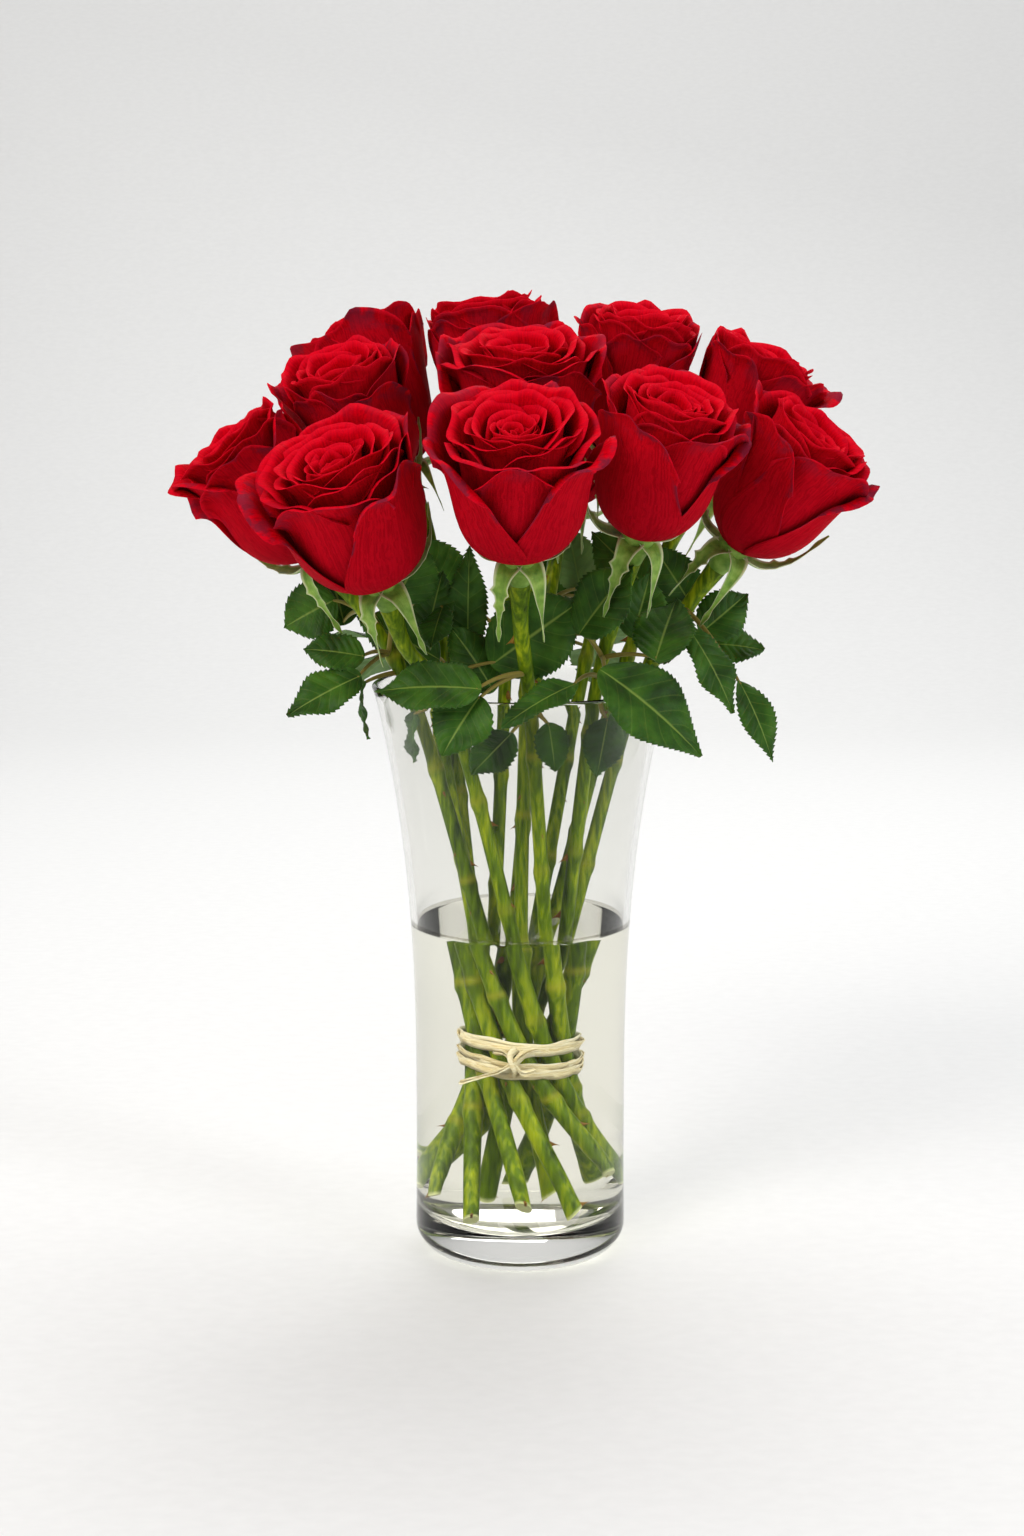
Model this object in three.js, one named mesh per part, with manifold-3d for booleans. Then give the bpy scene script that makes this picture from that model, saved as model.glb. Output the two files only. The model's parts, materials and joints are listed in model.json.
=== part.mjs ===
// Twelve red roses, tied by hand in a spiral, standing in a flared glass vase of water.
// Millimetres, +Z up. The origin is the middle of the vase's foot, and -Y is the front.
// Azimuths are in degrees about +Z, from +X towards +Y, so the front is 270.
import * as THREE from "three";
import { mergeVertices } from "three/addons/utils/BufferGeometryUtils.js";
import Module from "manifold-3d";

const wasm = await Module();
wasm.setup();

// ---- Vase: a straight waist that flares to the mouth
const vaseHeight = 243;
const mouthRadius = 61.5;
const waistRadius = 44.4;
const waistHeight = 70;
const flarePower = 2.5; // how late the flare opens: 1 is a cone
const footSwell = 0.7; // how much wider than its waist the vase stands
const footCorner = 10;
const floorThickness = 16;
const floorCorner = 9;
const wall = 2.6;
const vaseSides = 36;

// ---- Water and raffia tie
const waterHeight = 142;
const tieHeight = 88;
const tieBands = [
  { rise: 4.5, width: 5, tilt: 5, tiltTo: 20 },
  { rise: -4, width: 5.5, tilt: 6, tiltTo: 350 },
];
const strandThickness = 1.6;
const bandSides = 28;
const bandSlack = 0.12; // how much further out a band lies for each millimetre above or below the tie
const knotAzimuth = 264;
const knotSize = 4.6;
const knotShape = { across: 1, out: 0.55, tall: 1.15 }; // as shares of its size
const looseEnd = [
  // [degrees round from the knot, out from the bundle, down from the tie]
  [25, 2.4, 5],
  [52, 3.4, 9],
  [72, 5, 10],
];
const endThickness = 0.8; // half the loose end's, as a share of a strand's
const endSides = 6;
const endSteps = 8;
const endOverrun = 3; // how far the water's cut runs past the loose end, for each millimetre it is grown

// ---- Stems, hip and bloom of one rose
const stemRadius = 3.2;
const stemSides = 7;
const stemSteps = 12;
const hipLength = 11;
const hipRadius = 6.6;
const neckLength = 20; // the straight top of a stem, in line with its bloom
const mouthShare = 0.74; // a stem's reach at the mouth as a share of its neck's
const coreFootReach = 12; // from the vase's axis to an inner stem's cut end
const bloomHeight = 59;
const bodyShare = 0.55; // how far up a bloom the middle of its body is
const bloomSides = 14;
const hipSides = 10;

// ---- Clearances
const touchGap = 0.3; // between pieces that touch
const bundleGap = 1.4; // between neighbouring stems at the tie
const coreGap = 1.2; // between the inner stems at the tie
const mouthClearance = 0.9; // between a stem and the wall at the mouth
const tieClearance = 0.6; // between the raffia and the stems it binds, which lean
const footClearance = 5; // between a stem's cut end and the wall, over the floor's round corner
const pressGap = 0.8; // between blooms that press on each other

// ---- The bouquet, as it is tied. For each rose: its ring and its place in it at the tie, the azimuth and
// reach of its open face and that face's height over the mouth, how far the bloom leans and towards which
// azimuth, the bloom's widest radius, and how far above the floor its stem was cut.
const roses = {
  front: rose("outer", 0, [269, 95, 109], [28, 268], 33, 8),
  front_right: rose("outer", 1, [311, 90, 116], [27, 300], 31, 4),
  right: rose("outer", 2, [348, 121, 103], [38, 332], 31, 14),
  back_right: rose("outer", 3, [15, 106, 132], [27, 345], 28, 5),
  back: rose("outer", 4, [76, 102, 120], [32, 78], 31, 9),
  back_left: rose("outer", 5, [108, 54, 151], [8, 175], 30, 4),
  left_back: rose("outer", 6, [138, 92, 141], [24, 142], 30, 12),
  middle_left: rose("outer", 7, [182, 75, 129], [26, 231], 31, 7),
  left: rose("outer", 8, [188, 119, 100], [38, 192], 31, 18),
  front_left: rose("outer", 9, [229, 108, 96], [32, 238], 34, 6),
  middle: rose("core", 0, [271, 18, 137], [18, 262], 33, 10),
  middle_back: rose("core", 1, [28, 59, 146], [15, 300], 28, 6),
};

function rose(ring, place, [azimuth, reach, top], [lean, leansTo], spread, cut) {
  return { ring, place, azimuth, reach, top, lean, leansTo, spread, cut };
}

const rings = {
  outer: { count: 10, firstAzimuth: 349, footTurn: 67, mouthTurn: 5 },
  core: { count: 2, firstAzimuth: 290, footTurn: 40, mouthTurn: 4 },
};

// ---- Leaves. Each grows from a stem at a height over the mouth. A leaflet runs from base to tip, each
// given as [azimuth, reach beyond the mouth, height over the mouth], and its upper face looks at an azimuth
// and rises by an angle.
const leaves = {
  over_rim_left: {
    stem: "front",
    up: 9,
    leaflets: [
      { base: [257, 6, 6], tip: [226, 20, 4], width: 25, face: [262, 50] },
      { base: [256, 4, 3], tip: [247, 16, -19], width: 24, face: [255, 20] },
    ],
  },
  behind_front: {
    stem: "front_left",
    up: 5,
    leaflets: [
      { base: [249, -28, 11], tip: [311, -24, 37], width: 33, face: [278, 15] },
      { base: [250, -30, 0], tip: [224, -22, 26], width: 22, face: [285, 35] },
    ],
  },
  over_rim_front: {
    stem: "front_right",
    up: 5,
    leaflets: [{ base: [291, -1, 7], tip: [264, 11, -8], width: 14, face: [275, 60] }],
  },
  over_rim_right: {
    stem: "front_right",
    up: 13,
    leaflets: [
      { base: [301, -2, 12], tip: [322, 28, -22], width: 34, face: [300, 35] },
      { base: [302, -18, 24], tip: [314, 2, 52], width: 24, face: [250, 20] },
      { base: [322, 6, 14], tip: [344, 4, 36], width: 24, face: [255, 20] },
    ],
  },
  right_drooping: {
    stem: "right",
    up: 30,
    leaflets: [
      { base: [338, 12, 24], tip: [338, 30, -8], width: 17, face: [300, 20] },
      { base: [344, 30, 4], tip: [342, 45, -28], width: 14, face: [295, 20] },
    ],
  },
  right_spread: {
    stem: "back_right",
    up: 14,
    leaflets: [
      { base: [2, 13, 20], tip: [5, 33, 36], width: 20, face: [290, 20] },
      { base: [6, 18, 15], tip: [6, 41, 12], width: 16, face: [290, 35] },
      { base: [28, 0, 36], tip: [48, -16, 60], width: 22, face: [270, 15] },
    ],
  },
  left_pair: {
    stem: "left",
    up: 14,
    leaflets: [
      { base: [204, 7, 14], tip: [198, 30, 17], width: 16, face: [270, 35] },
      { base: [207, 10, 7], tip: [204, 40, -8], width: 18, face: [265, 35] },
      { base: [202, -6, 34], tip: [216, -14, 60], width: 24, face: [290, 10] },
    ],
  },
  left_high: {
    stem: "left",
    up: 30,
    leaflets: [
      { base: [176, 15, 34], tip: [176, 37, 22], width: 24, face: [260, 15] },
      { base: [168, 14, 22], tip: [166, 24, 52], width: 24, face: [290, 10] },
    ],
  },
  left_hanging: {
    stem: "left",
    up: 5,
    leaflets: [{ base: [189, 4, 2], tip: [191, 2, -22], width: 9, face: [190, 5] }],
  },
  tall_middle: {
    stem: "middle",
    up: 12,
    leaflets: [
      { base: [216, -35, 12], tip: [226, -32, 58], width: 15, face: [265, 5] },
      { base: [150, -30, 32], tip: [166, -16, 60], width: 24, face: [270, 10] },
    ],
  },
  inner_left: {
    stem: "middle_left",
    up: 30,
    leaflets: [
      { base: [205, -20, 22], tip: [214, -24, 48], width: 16, face: [262, 10] },
      { base: [216, -23, 34], tip: [226, -10, 18], width: 12, face: [250, 10] },
    ],
  },
  inner_right: {
    stem: "right",
    up: 12,
    leaflets: [
      { base: [342, -14, 20], tip: [350, -8, 46], width: 20, face: [280, 10] },
      { base: [350, -10, 14], tip: [344, 12, 18], width: 18, face: [295, 40] },
    ],
  },
  in_mouth_front: {
    stem: "front",
    up: -8,
    leaflets: [
      { base: [284, -17, -10], tip: [288, -18, -30], width: 13, face: [280, 10] },
      { base: [266, -10, -13], tip: [242, -20, -32], width: 16, face: [285, 25] },
    ],
  },
  in_mouth_right: {
    stem: "front_right",
    up: -6,
    leaflets: [
      { base: [322, -14, -5], tip: [330, -14, -22], width: 14, face: [320, 10] },
      { base: [318, -15, -10], tip: [314, -18, -34], width: 15, face: [270, 20] },
    ],
  },
  in_mouth_left: {
    stem: "front_left",
    up: -8,
    leaflets: [{ base: [206, -14, -9], tip: [204, -15, -30], width: 8, face: [215, 5] }],
  },
  back_spread: {
    stem: "back",
    up: 12,
    leaflets: [
      { base: [56, 2, 13], tip: [44, 34, 8], width: 26, face: [60, 55] },
      { base: [60, 2, 8], tip: [66, 30, -16], width: 26, face: [66, 45] },
    ],
  },
  back_over_rim: {
    stem: "back_left",
    up: 9,
    leaflets: [
      { base: [98, 2, 8], tip: [88, 28, -10], width: 28, face: [90, 45] },
      { base: [110, 2, 9], tip: [116, 32, 8], width: 26, face: [115, 60] },
    ],
  },
  left_back_spread: {
    stem: "left_back",
    up: 12,
    leaflets: [
      { base: [138, 4, 10], tip: [142, 34, -12], width: 26, face: [140, 45] },
      { base: [150, 2, 14], tip: [158, 32, 14], width: 22, face: [160, 60] },
    ],
  },
  left_inner: {
    stem: "left_back",
    up: 5,
    leaflets: [
      { base: [162, -26, 8], tip: [170, 8, 26], width: 22, face: [290, 15] },
    ],
  },
  right_high: {
    stem: "right",
    up: 26,
    leaflets: [
      { base: [14, 14, 28], tip: [10, -6, 56], width: 20, face: [265, 25] },
    ],
  },
  back_high: {
    stem: "back",
    up: 30,
    leaflets: [
      { base: [66, 4, 32], tip: [74, 14, 60], width: 20, face: [80, 15] },
      { base: [66, 14, 26], tip: [84, 20, 58], width: 26, face: [245, 35] },
    ],
  },
};
const petioleRadius = 0.9;
const leafThickness = 1.1;
const leafFold = 0.16; // how far a leaflet's edges stand over its midrib, as a share of its half width
const leafArch = 0.1; // how far a leaflet's middle rises off its chord, as a share of its length
const leafSteps = 6;
const petioleArch = 0.12;
const petioleSides = 5;
const petioleSteps = 4;
const petioleBite = 0.06; // how far into its leaflet a petiole runs, as a share of the leaflet's length
const tipHalf = 0.5; // half the width of a leaflet's or a sepal's tip

// ---- Finishes
const finishes = {
  glass: { color: 0xdfe8e6, roughness: 0.04, metalness: 0, transparent: true, opacity: 0.35 },
  water: { color: 0xeceadb, roughness: 0.02, metalness: 0, transparent: true, opacity: 0.3 },
  raffia: { color: 0xe8ddb0, roughness: 0.75, metalness: 0 },
  stem: { color: 0x7a9a1e, roughness: 0.5, metalness: 0 },
  sepal: { color: 0x86a04c, roughness: 0.6, metalness: 0 },
  petal: { color: 0xb8001a, roughness: 0.55, metalness: 0 },
  leaf: { color: 0x2f5f2a, roughness: 0.45, metalness: 0 },
};

// ---- Small helpers
const radians = THREE.MathUtils.degToRad;
const upward = new THREE.Vector3(0, 0, 1);

function polar(azimuth, reach, z) {
  return new THREE.Vector3(reach * Math.cos(radians(azimuth)), reach * Math.sin(radians(azimuth)), z);
}

// A unit vector that leans from straight up towards an azimuth.
function leaning(lean, azimuth) {
  return polar(azimuth, Math.sin(radians(lean)), Math.cos(radians(lean)));
}

// A closed geometry as a solid that can be joined and cut.
function solid(geometry) {
  const bare = geometry.clone();
  bare.deleteAttribute("normal");
  bare.deleteAttribute("uv");
  const merged = mergeVertices(bare, 1e-4);
  return new wasm.Manifold(
    new wasm.Mesh({
      numProp: 3,
      vertProperties: merged.attributes.position.array,
      triVerts: new Uint32Array(merged.index.array),
    }),
  );
}

// The largest body of a solid: what a cut leaves behind as crumbs is dropped.
function largestBody(made) {
  return made.decompose().reduce((best, body) => (body.volume() > best.volume() ? body : best));
}

function geometryOf(made) {
  const mesh = made.getMesh();
  return new THREE.BufferGeometry()
    .setAttribute("position", new THREE.BufferAttribute(new Float32Array(mesh.vertProperties), 3))
    .setIndex(new THREE.BufferAttribute(new Uint32Array(mesh.triVerts), 1));
}

// A profile of [radius, height] points turned about +Z.
function turned(profile, sides) {
  const points = profile.map(([radius, height]) => new THREE.Vector2(radius, height));
  return new THREE.LatheGeometry(points, sides).rotateX(Math.PI / 2);
}

// A round rod along a curve.
function rod(curve, radius, sides, steps) {
  const section = new THREE.Shape(
    Array.from({ length: sides }, (_, i) => {
      const angle = (2 * Math.PI * i) / sides;
      return new THREE.Vector2(radius * Math.cos(angle), radius * Math.sin(angle));
    }),
  );
  return new THREE.ExtrudeGeometry(section, { steps, extrudePath: curve, bevelEnabled: false });
}

// A skin over rings of four points, closed flat at both ends.
function skinned(ringList) {
  const corners = 4;
  const triangles = [0, 1, 2, 0, 2, 3];
  ringList.slice(1).forEach((_, i) => {
    for (let a = 0; a < corners; a++) {
      const b = (a + 1) % corners;
      const [low, high] = [i * corners, (i + 1) * corners];
      triangles.push(low + b, low + a, high + a, low + b, high + a, high + b);
    }
  });
  const last = (ringList.length - 1) * corners;
  triangles.push(last + 1, last, last + 2, last + 2, last, last + 3);
  const positions = ringList.flat().flatMap((point) => point.toArray());
  return new THREE.BufferGeometry()
    .setAttribute("position", new THREE.BufferAttribute(new Float32Array(positions), 3))
    .setIndex(triangles);
}

// A thin blade along a curve, such as a leaflet or a sepal: lens-shaped across, its upper face up.
// widthAt gives the half width at a share of the length.
function blade(curve, widthAt, face, thickness, fold, steps) {
  const ringList = [];
  for (let i = 0; i <= steps; i++) {
    const t = i / steps;
    const middle = curve.getPoint(t);
    const along = curve.getTangent(t);
    const side = new THREE.Vector3().crossVectors(along, face).normalize();
    const out = new THREE.Vector3().crossVectors(side, along);
    const half = widthAt(t);
    const lift = out.clone().multiplyScalar(fold * half);
    const thick = out.clone().multiplyScalar(thickness / 2);
    ringList.push([
      middle.clone().addScaledVector(side, half).add(lift),
      middle.clone().add(thick),
      middle.clone().addScaledVector(side, -half).add(lift),
      middle.clone().sub(thick),
    ]);
  }
  return skinned(ringList);
}

// ---- Vase
function outerRadiusAt(z) {
  if (z < waistHeight) return waistRadius + footSwell * ((waistHeight - z) / waistHeight) ** 2;
  const share = (z - waistHeight) / (vaseHeight - waistHeight);
  return waistRadius + (mouthRadius - waistRadius) * share ** flarePower;
}

function innerRadiusAt(z) {
  return outerRadiusAt(z) - wall;
}

function arc(centreRadius, centreHeight, radius, fromDegrees, toDegrees, steps) {
  return Array.from({ length: steps + 1 }, (_, i) => {
    const angle = radians(fromDegrees + ((toDegrees - fromDegrees) * i) / steps);
    return [centreRadius + radius * Math.cos(angle), centreHeight + radius * Math.sin(angle)];
  });
}

function heightsBetween(low, high, steps) {
  return Array.from({ length: steps + 1 }, (_, i) => low + ((high - low) * i) / steps);
}

function vase() {
  const lip = wall / 2;
  const outside = heightsBetween(footCorner, vaseHeight - lip, 8).slice(1, -1);
  const inside = heightsBetween(floorThickness + floorCorner, vaseHeight - lip, 7).slice(1, -1).reverse();
  const footRadius = outerRadiusAt(footCorner) - footCorner;
  const floorRadius = innerRadiusAt(floorThickness + floorCorner) - floorCorner;
  return turned(
    [
      [0, 0],
      ...arc(footRadius, footCorner, footCorner, -90, 0, 3),
      ...outside.map((z) => [outerRadiusAt(z), z]),
      ...arc(mouthRadius - lip, vaseHeight - lip, lip, 0, 180, 3),
      ...inside.map((z) => [innerRadiusAt(z), z]),
      ...arc(floorRadius, floorThickness + floorCorner, floorCorner, 0, -90, 3),
      [0, floorThickness],
    ],
    vaseSides,
  );
}

// ---- Stems
const slant = 1.15; // how much wider a leaning stem is across the ring than it is thick
const ringRadius = {
  outer: (2 * stemRadius * slant + bundleGap) / (2 * Math.sin(Math.PI / rings.outer.count)),
  core: (2 * stemRadius + coreGap) / (2 * Math.sin(Math.PI / rings.core.count)),
};

// Where a rose's bloom stands: its base, its axis and the middle of its body.
function standOf(rose) {
  const axis = leaning(rose.lean, rose.leansTo);
  const face = polar(rose.azimuth, rose.reach, vaseHeight + rose.top);
  const base = face.clone().addScaledVector(axis, -bloomHeight);
  return { axis, base, body: base.clone().addScaledVector(axis, bodyShare * bloomHeight) };
}

// A stem runs from its cut end by the wall, through its place at the tie, past the mouth and up to its hip.
function stemPath(rose, extra = 0) {
  const ring = rings[rose.ring];
  const { axis, base } = standOf(rose);
  const tieAzimuth = ring.firstAzimuth + (360 * rose.place) / ring.count;
  const footZ = floorThickness + rose.cut - extra;
  const footReach = rose.ring === "outer" ? innerRadiusAt(footZ) - stemRadius - footClearance : coreFootReach;
  const top = base.clone().addScaledVector(axis, -hipLength - touchGap + extra);
  const neck = top.clone().addScaledVector(axis, -neckLength);
  const azimuth = THREE.MathUtils.radToDeg(Math.atan2(neck.y, neck.x));
  const widest = innerRadiusAt(vaseHeight) - stemRadius - mouthClearance;
  const mouthReach = Math.min(mouthShare * Math.hypot(neck.x, neck.y), widest);
  return new THREE.CatmullRomCurve3([
    polar(tieAzimuth + ring.footTurn, footReach, footZ),
    polar(tieAzimuth, ringRadius[rose.ring], tieHeight),
    polar(azimuth + ring.mouthTurn, mouthReach, vaseHeight),
    neck,
    top,
  ]);
}

function stem(rose, grown = 0) {
  return rod(stemPath(rose, grown), stemRadius + grown, stemSides, stemSteps);
}

function stemPointAt(rose, z) {
  const points = stemPath(rose).getPoints(200);
  return points.reduce((best, p) => (Math.abs(p.z - z) < Math.abs(best.z - z) ? p : best));
}

// ---- Blooms: a cup of petals with a rolled rim and a high centre
const bloomProfile = [
  // [share of the widest radius, share of the height]
  [0, 0],
  [0.26, 0.02],
  [0.55, 0.11],
  [0.76, 0.24],
  [0.86, 0.42],
  [0.89, 0.66],
  [0.96, 0.83],
  [1, 0.91],
  [0.9, 0.96],
  [0.5, 0.97],
  [0, 1],
];

// Turns and moves what was made upright at the origin to where a rose's bloom stands.
function raised(geometry, rose) {
  const { axis, base } = standOf(rose);
  const turn = new THREE.Quaternion().setFromUnitVectors(upward, axis);
  return geometry.applyQuaternion(turn).translate(base.x, base.y, base.z);
}

// Blooms that touch press each other flat, on the plane midway between them.
function pressed(made, rose) {
  const own = standOf(rose).body;
  for (const other of Object.values(roses)) {
    if (other === rose) continue;
    const towards = own.clone().sub(standOf(other).body);
    const distance = towards.length();
    towards.normalize();
    const share = (distance * rose.spread) / (rose.spread + other.spread) - pressGap / 2;
    made = made.trimByPlane(towards.toArray(), own.dot(towards) - share);
  }
  return largestBody(made);
}

function bloom(rose) {
  const profile = bloomProfile.map(([radius, height]) => [radius * rose.spread, height * bloomHeight]);
  return geometryOf(pressed(solid(raised(turned(profile, bloomSides), rose)), rose));
}

// ---- Calyx: the hip under the bloom and its five sepals, which hug the cup, stand out or hang
const sepalRoutes = {
  hugging: { out: [3, 15, 25, 31], rise: [-3, -3, 6, 24] },
  spread: { out: [3, 12, 24, 34], rise: [-3.5, -5, -4, 2] },
  hanging: { out: [3, 10, 15, 16], rise: [-4, -7, -17, -31] },
};
const sepalOrder = ["hanging", "hanging", "hugging", "spread", "hugging"];
const sepalWidth = 10;
const sepalThickness = 1.2;
const sepalFold = 0.1;
const sepalSteps = 3;
const firstSepal = 234; // the azimuth of a rose's first sepal, before its own turn
const calyxTurns = [0, 12, -12]; // in turn from rose to rose

function calyx(rose, index) {
  const hip = turned(
    [
      [0, -hipLength],
      [stemRadius + 0.4, -hipLength],
      [hipRadius * 0.8, -hipLength * 0.7],
      [hipRadius, -hipLength * 0.35],
      [hipRadius * 0.8, -touchGap - 0.5],
      [0, -touchGap],
    ],
    hipSides,
  );
  const joined = [solid(raised(hip, rose))];
  sepalOrder.forEach((kind, i) => {
    const { out, rise } = sepalRoutes[kind];
    const azimuth = firstSepal + (360 * i) / sepalOrder.length + calyxTurns[index % calyxTurns.length];
    const curve = new THREE.CatmullRomCurve3(out.map((reach, k) => polar(azimuth, reach, rise[k])));
    const widthAt = (t) => tipHalf + (sepalWidth / 2) * (1 - t) ** 0.9 * Math.min(1, 0.5 + 2 * t);
    const face = kind === "hanging" ? polar(azimuth, 1, 0) : upward;
    const sepal = blade(curve, widthAt, face, sepalThickness, sepalFold, sepalSteps);
    joined.push(pressed(solid(raised(sepal, rose)), rose));
  });
  return geometryOf(largestBody(joined.reduce((made, piece) => made.add(piece))));
}

// ---- Leaves
function leafPoint([azimuth, beyond, up]) {
  return polar(azimuth, mouthRadius + beyond, vaseHeight + up);
}

function leaflet({ base, tip, width, face }) {
  const [from, to] = [leafPoint(base), leafPoint(tip)];
  const look = leaning(90 - face[1], face[0]);
  const middle = from.clone().lerp(to, 0.5).addScaledVector(look, leafArch * from.distanceTo(to));
  const curve = new THREE.QuadraticBezierCurve3(from, middle, to);
  const widthAt = (t) => tipHalf + (width / 2 - tipHalf) * Math.sin(Math.PI * t ** 0.8) ** 0.8;
  return blade(curve, widthAt, look, leafThickness, leafFold, leafSteps);
}

function petiole(from, to) {
  const middle = from.clone().lerp(to, 0.5).addScaledVector(upward, petioleArch * from.distanceTo(to));
  return rod(new THREE.QuadraticBezierCurve3(from, middle, to), petioleRadius, petioleSides, petioleSteps);
}

function leaf({ stem: stemName, up, leaflets }) {
  const stemPoint = stemPointAt(roses[stemName], vaseHeight + up);
  const clear = stemRadius + petioleRadius + touchGap;
  const first = leafPoint(leaflets[0].base);
  const away = first.clone().sub(stemPoint).setZ(0).normalize();
  const root = stemPoint.clone().addScaledVector(away, clear);
  const pieces = leaflets.flatMap((each) => {
    const start = leafPoint(each.base);
    const inside = start.clone().lerp(leafPoint(each.tip), petioleBite);
    return [solid(petiole(root, inside)), solid(leaflet(each))];
  });
  return geometryOf(largestBody(pieces.reduce((made, piece) => made.add(piece))));
}

// ---- Raffia tie: two turns round the bundle, a knot at the front and one loose end
function tie(grown = 0) {
  const bundleRadius = ringRadius.outer + stemRadius + tieClearance;
  const inner = bundleRadius - grown;
  const outer = bundleRadius + strandThickness + grown;
  const bands = tieBands.map(({ rise, width, tilt, tiltTo }) => {
    const half = width / 2 + grown;
    const slack = Math.abs(rise) * bandSlack;
    const profile = [
      [inner + slack, -half],
      [outer + slack, -half],
      [outer + slack, half],
      [inner + slack, half],
      [inner + slack, -half],
    ];
    const turn = new THREE.Quaternion().setFromUnitVectors(upward, leaning(tilt, tiltTo));
    return turned(profile, bandSides).applyQuaternion(turn).translate(0, 0, tieHeight + rise);
  });
  const knotReach = bundleRadius + strandThickness + knotSize / 4;
  const knotPlace = polar(knotAzimuth, knotReach, tieHeight);
  const knot = new THREE.IcosahedronGeometry(1, 1);
  const { across, out, tall } = knotShape;
  knot.scale(across * knotSize + grown, out * knotSize + grown, tall * knotSize + grown);
  knot.translate(knotPlace.x, knotPlace.y, knotPlace.z);
  const free = bundleRadius + strandThickness;
  const end = looseEnd.map(([round, beyond, down]) =>
    polar(knotAzimuth - round, free + beyond, tieHeight - down),
  );
  const last = end.at(-1);
  last.add(last.clone().sub(end.at(-2)).setLength(endOverrun * grown));
  const endPath = new THREE.CatmullRomCurve3([knotPlace, ...end]);
  const freeEnd = rod(endPath, strandThickness * endThickness + grown, endSides, endSteps);
  return [...bands.slice(1), knot, freeEnd].reduce((made, piece) => made.add(solid(piece)), solid(bands[0]));
}

// ---- Water: what is left of the vase's inside, under the water line, round the stems and the tie
function water() {
  const gap = touchGap;
  const floorRadius = innerRadiusAt(floorThickness + floorCorner) - floorCorner;
  const heights = heightsBetween(floorThickness + floorCorner, waterHeight, 5).slice(1);
  const profile = [
    [0, floorThickness + gap],
    ...arc(floorRadius, floorThickness + floorCorner, floorCorner - gap, -90, 0, 3),
    ...heights.map((z) => [innerRadiusAt(z) - gap, z]),
    [0, waterHeight],
  ];
  const cuts = Object.values(roses).map((rose) => solid(stem(rose, gap)));
  const whole = solid(turned(profile, vaseSides));
  return geometryOf(largestBody([...cuts, tie(gap)].reduce((made, cut) => made.subtract(cut), whole)));
}

// ---- The whole
const bouquet = new THREE.Group();

function place(name, geometry, finish) {
  const mesh = new THREE.Mesh(geometry, new THREE.MeshStandardMaterial(finishes[finish]));
  mesh.name = name;
  bouquet.add(mesh);
}

place("vase", vase(), "glass");
place("water", water(), "water");
place("raffia_tie", geometryOf(tie()), "raffia");
Object.entries(roses).forEach(([name, rose], index) => {
  place("stem_" + name, stem(rose), "stem");
  place("calyx_" + name, calyx(rose, index), "sepal");
  place("bloom_" + name, bloom(rose), "petal");
});
for (const [name, plan] of Object.entries(leaves)) place("leaf_" + name, leaf(plan), "leaf");

export default bouquet;
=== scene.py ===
# %% [markdown]
# # Twelve red roses in a glass vase
# A hand-tied bouquet stands in a flared vase, with water up to the middle. The imported model gives
# every piece its place: the origin is the middle of the vase's foot, +Z is up and -Y is the front.
# The frame comes first, and the size of the box it fills is printed.

# %% Load the frame
import json
import math
from collections import namedtuple

import bpy
import numpy as np
from mathutils import Matrix, Vector

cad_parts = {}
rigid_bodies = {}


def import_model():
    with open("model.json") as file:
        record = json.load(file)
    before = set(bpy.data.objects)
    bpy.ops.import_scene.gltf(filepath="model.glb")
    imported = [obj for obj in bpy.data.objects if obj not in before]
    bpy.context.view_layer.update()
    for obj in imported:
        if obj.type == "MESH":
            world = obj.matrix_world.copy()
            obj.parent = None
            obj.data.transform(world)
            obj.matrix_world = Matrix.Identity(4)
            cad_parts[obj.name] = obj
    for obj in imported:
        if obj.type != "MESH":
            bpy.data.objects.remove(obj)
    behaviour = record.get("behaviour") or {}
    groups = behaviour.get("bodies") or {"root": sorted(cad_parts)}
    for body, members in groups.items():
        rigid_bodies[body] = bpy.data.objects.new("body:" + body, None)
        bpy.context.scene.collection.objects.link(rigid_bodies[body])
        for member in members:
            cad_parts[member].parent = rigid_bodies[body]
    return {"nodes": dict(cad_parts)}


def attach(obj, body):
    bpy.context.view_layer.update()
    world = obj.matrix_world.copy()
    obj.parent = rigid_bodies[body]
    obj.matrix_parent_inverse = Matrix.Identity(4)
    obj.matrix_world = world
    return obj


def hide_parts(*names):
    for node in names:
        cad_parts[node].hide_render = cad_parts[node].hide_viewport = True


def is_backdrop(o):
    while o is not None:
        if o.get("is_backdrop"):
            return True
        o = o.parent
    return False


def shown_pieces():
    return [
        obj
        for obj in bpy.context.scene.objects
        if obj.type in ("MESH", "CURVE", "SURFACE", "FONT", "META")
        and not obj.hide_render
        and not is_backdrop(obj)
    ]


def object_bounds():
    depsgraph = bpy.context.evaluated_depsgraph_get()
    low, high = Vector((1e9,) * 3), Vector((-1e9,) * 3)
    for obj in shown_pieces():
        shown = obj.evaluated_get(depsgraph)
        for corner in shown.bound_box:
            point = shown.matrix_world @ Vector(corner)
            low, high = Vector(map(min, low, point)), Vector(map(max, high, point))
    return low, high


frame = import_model()
cad_low, cad_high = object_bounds()
scene = bpy.context.scene
MM = 0.001
sides_mm = [round((b - a) / MM) for a, b in zip(cad_low, cad_high)]
print("frame:", len(frame["nodes"]), "nodes,", sides_mm, "mm")

# %% [markdown]
# ## Where each flower stands
# The bouquet is bound as a spiral: ten stems in a ring and two inside it, all leaning the same way round.
# Each rose is given by its place in its ring, the azimuth and reach of its open face, that face's height
# over the mouth of the vase, how far and towards where the bloom leans, its widest radius, and how far
# above the floor of the vase its stem was cut. Millimetres and degrees.

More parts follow.
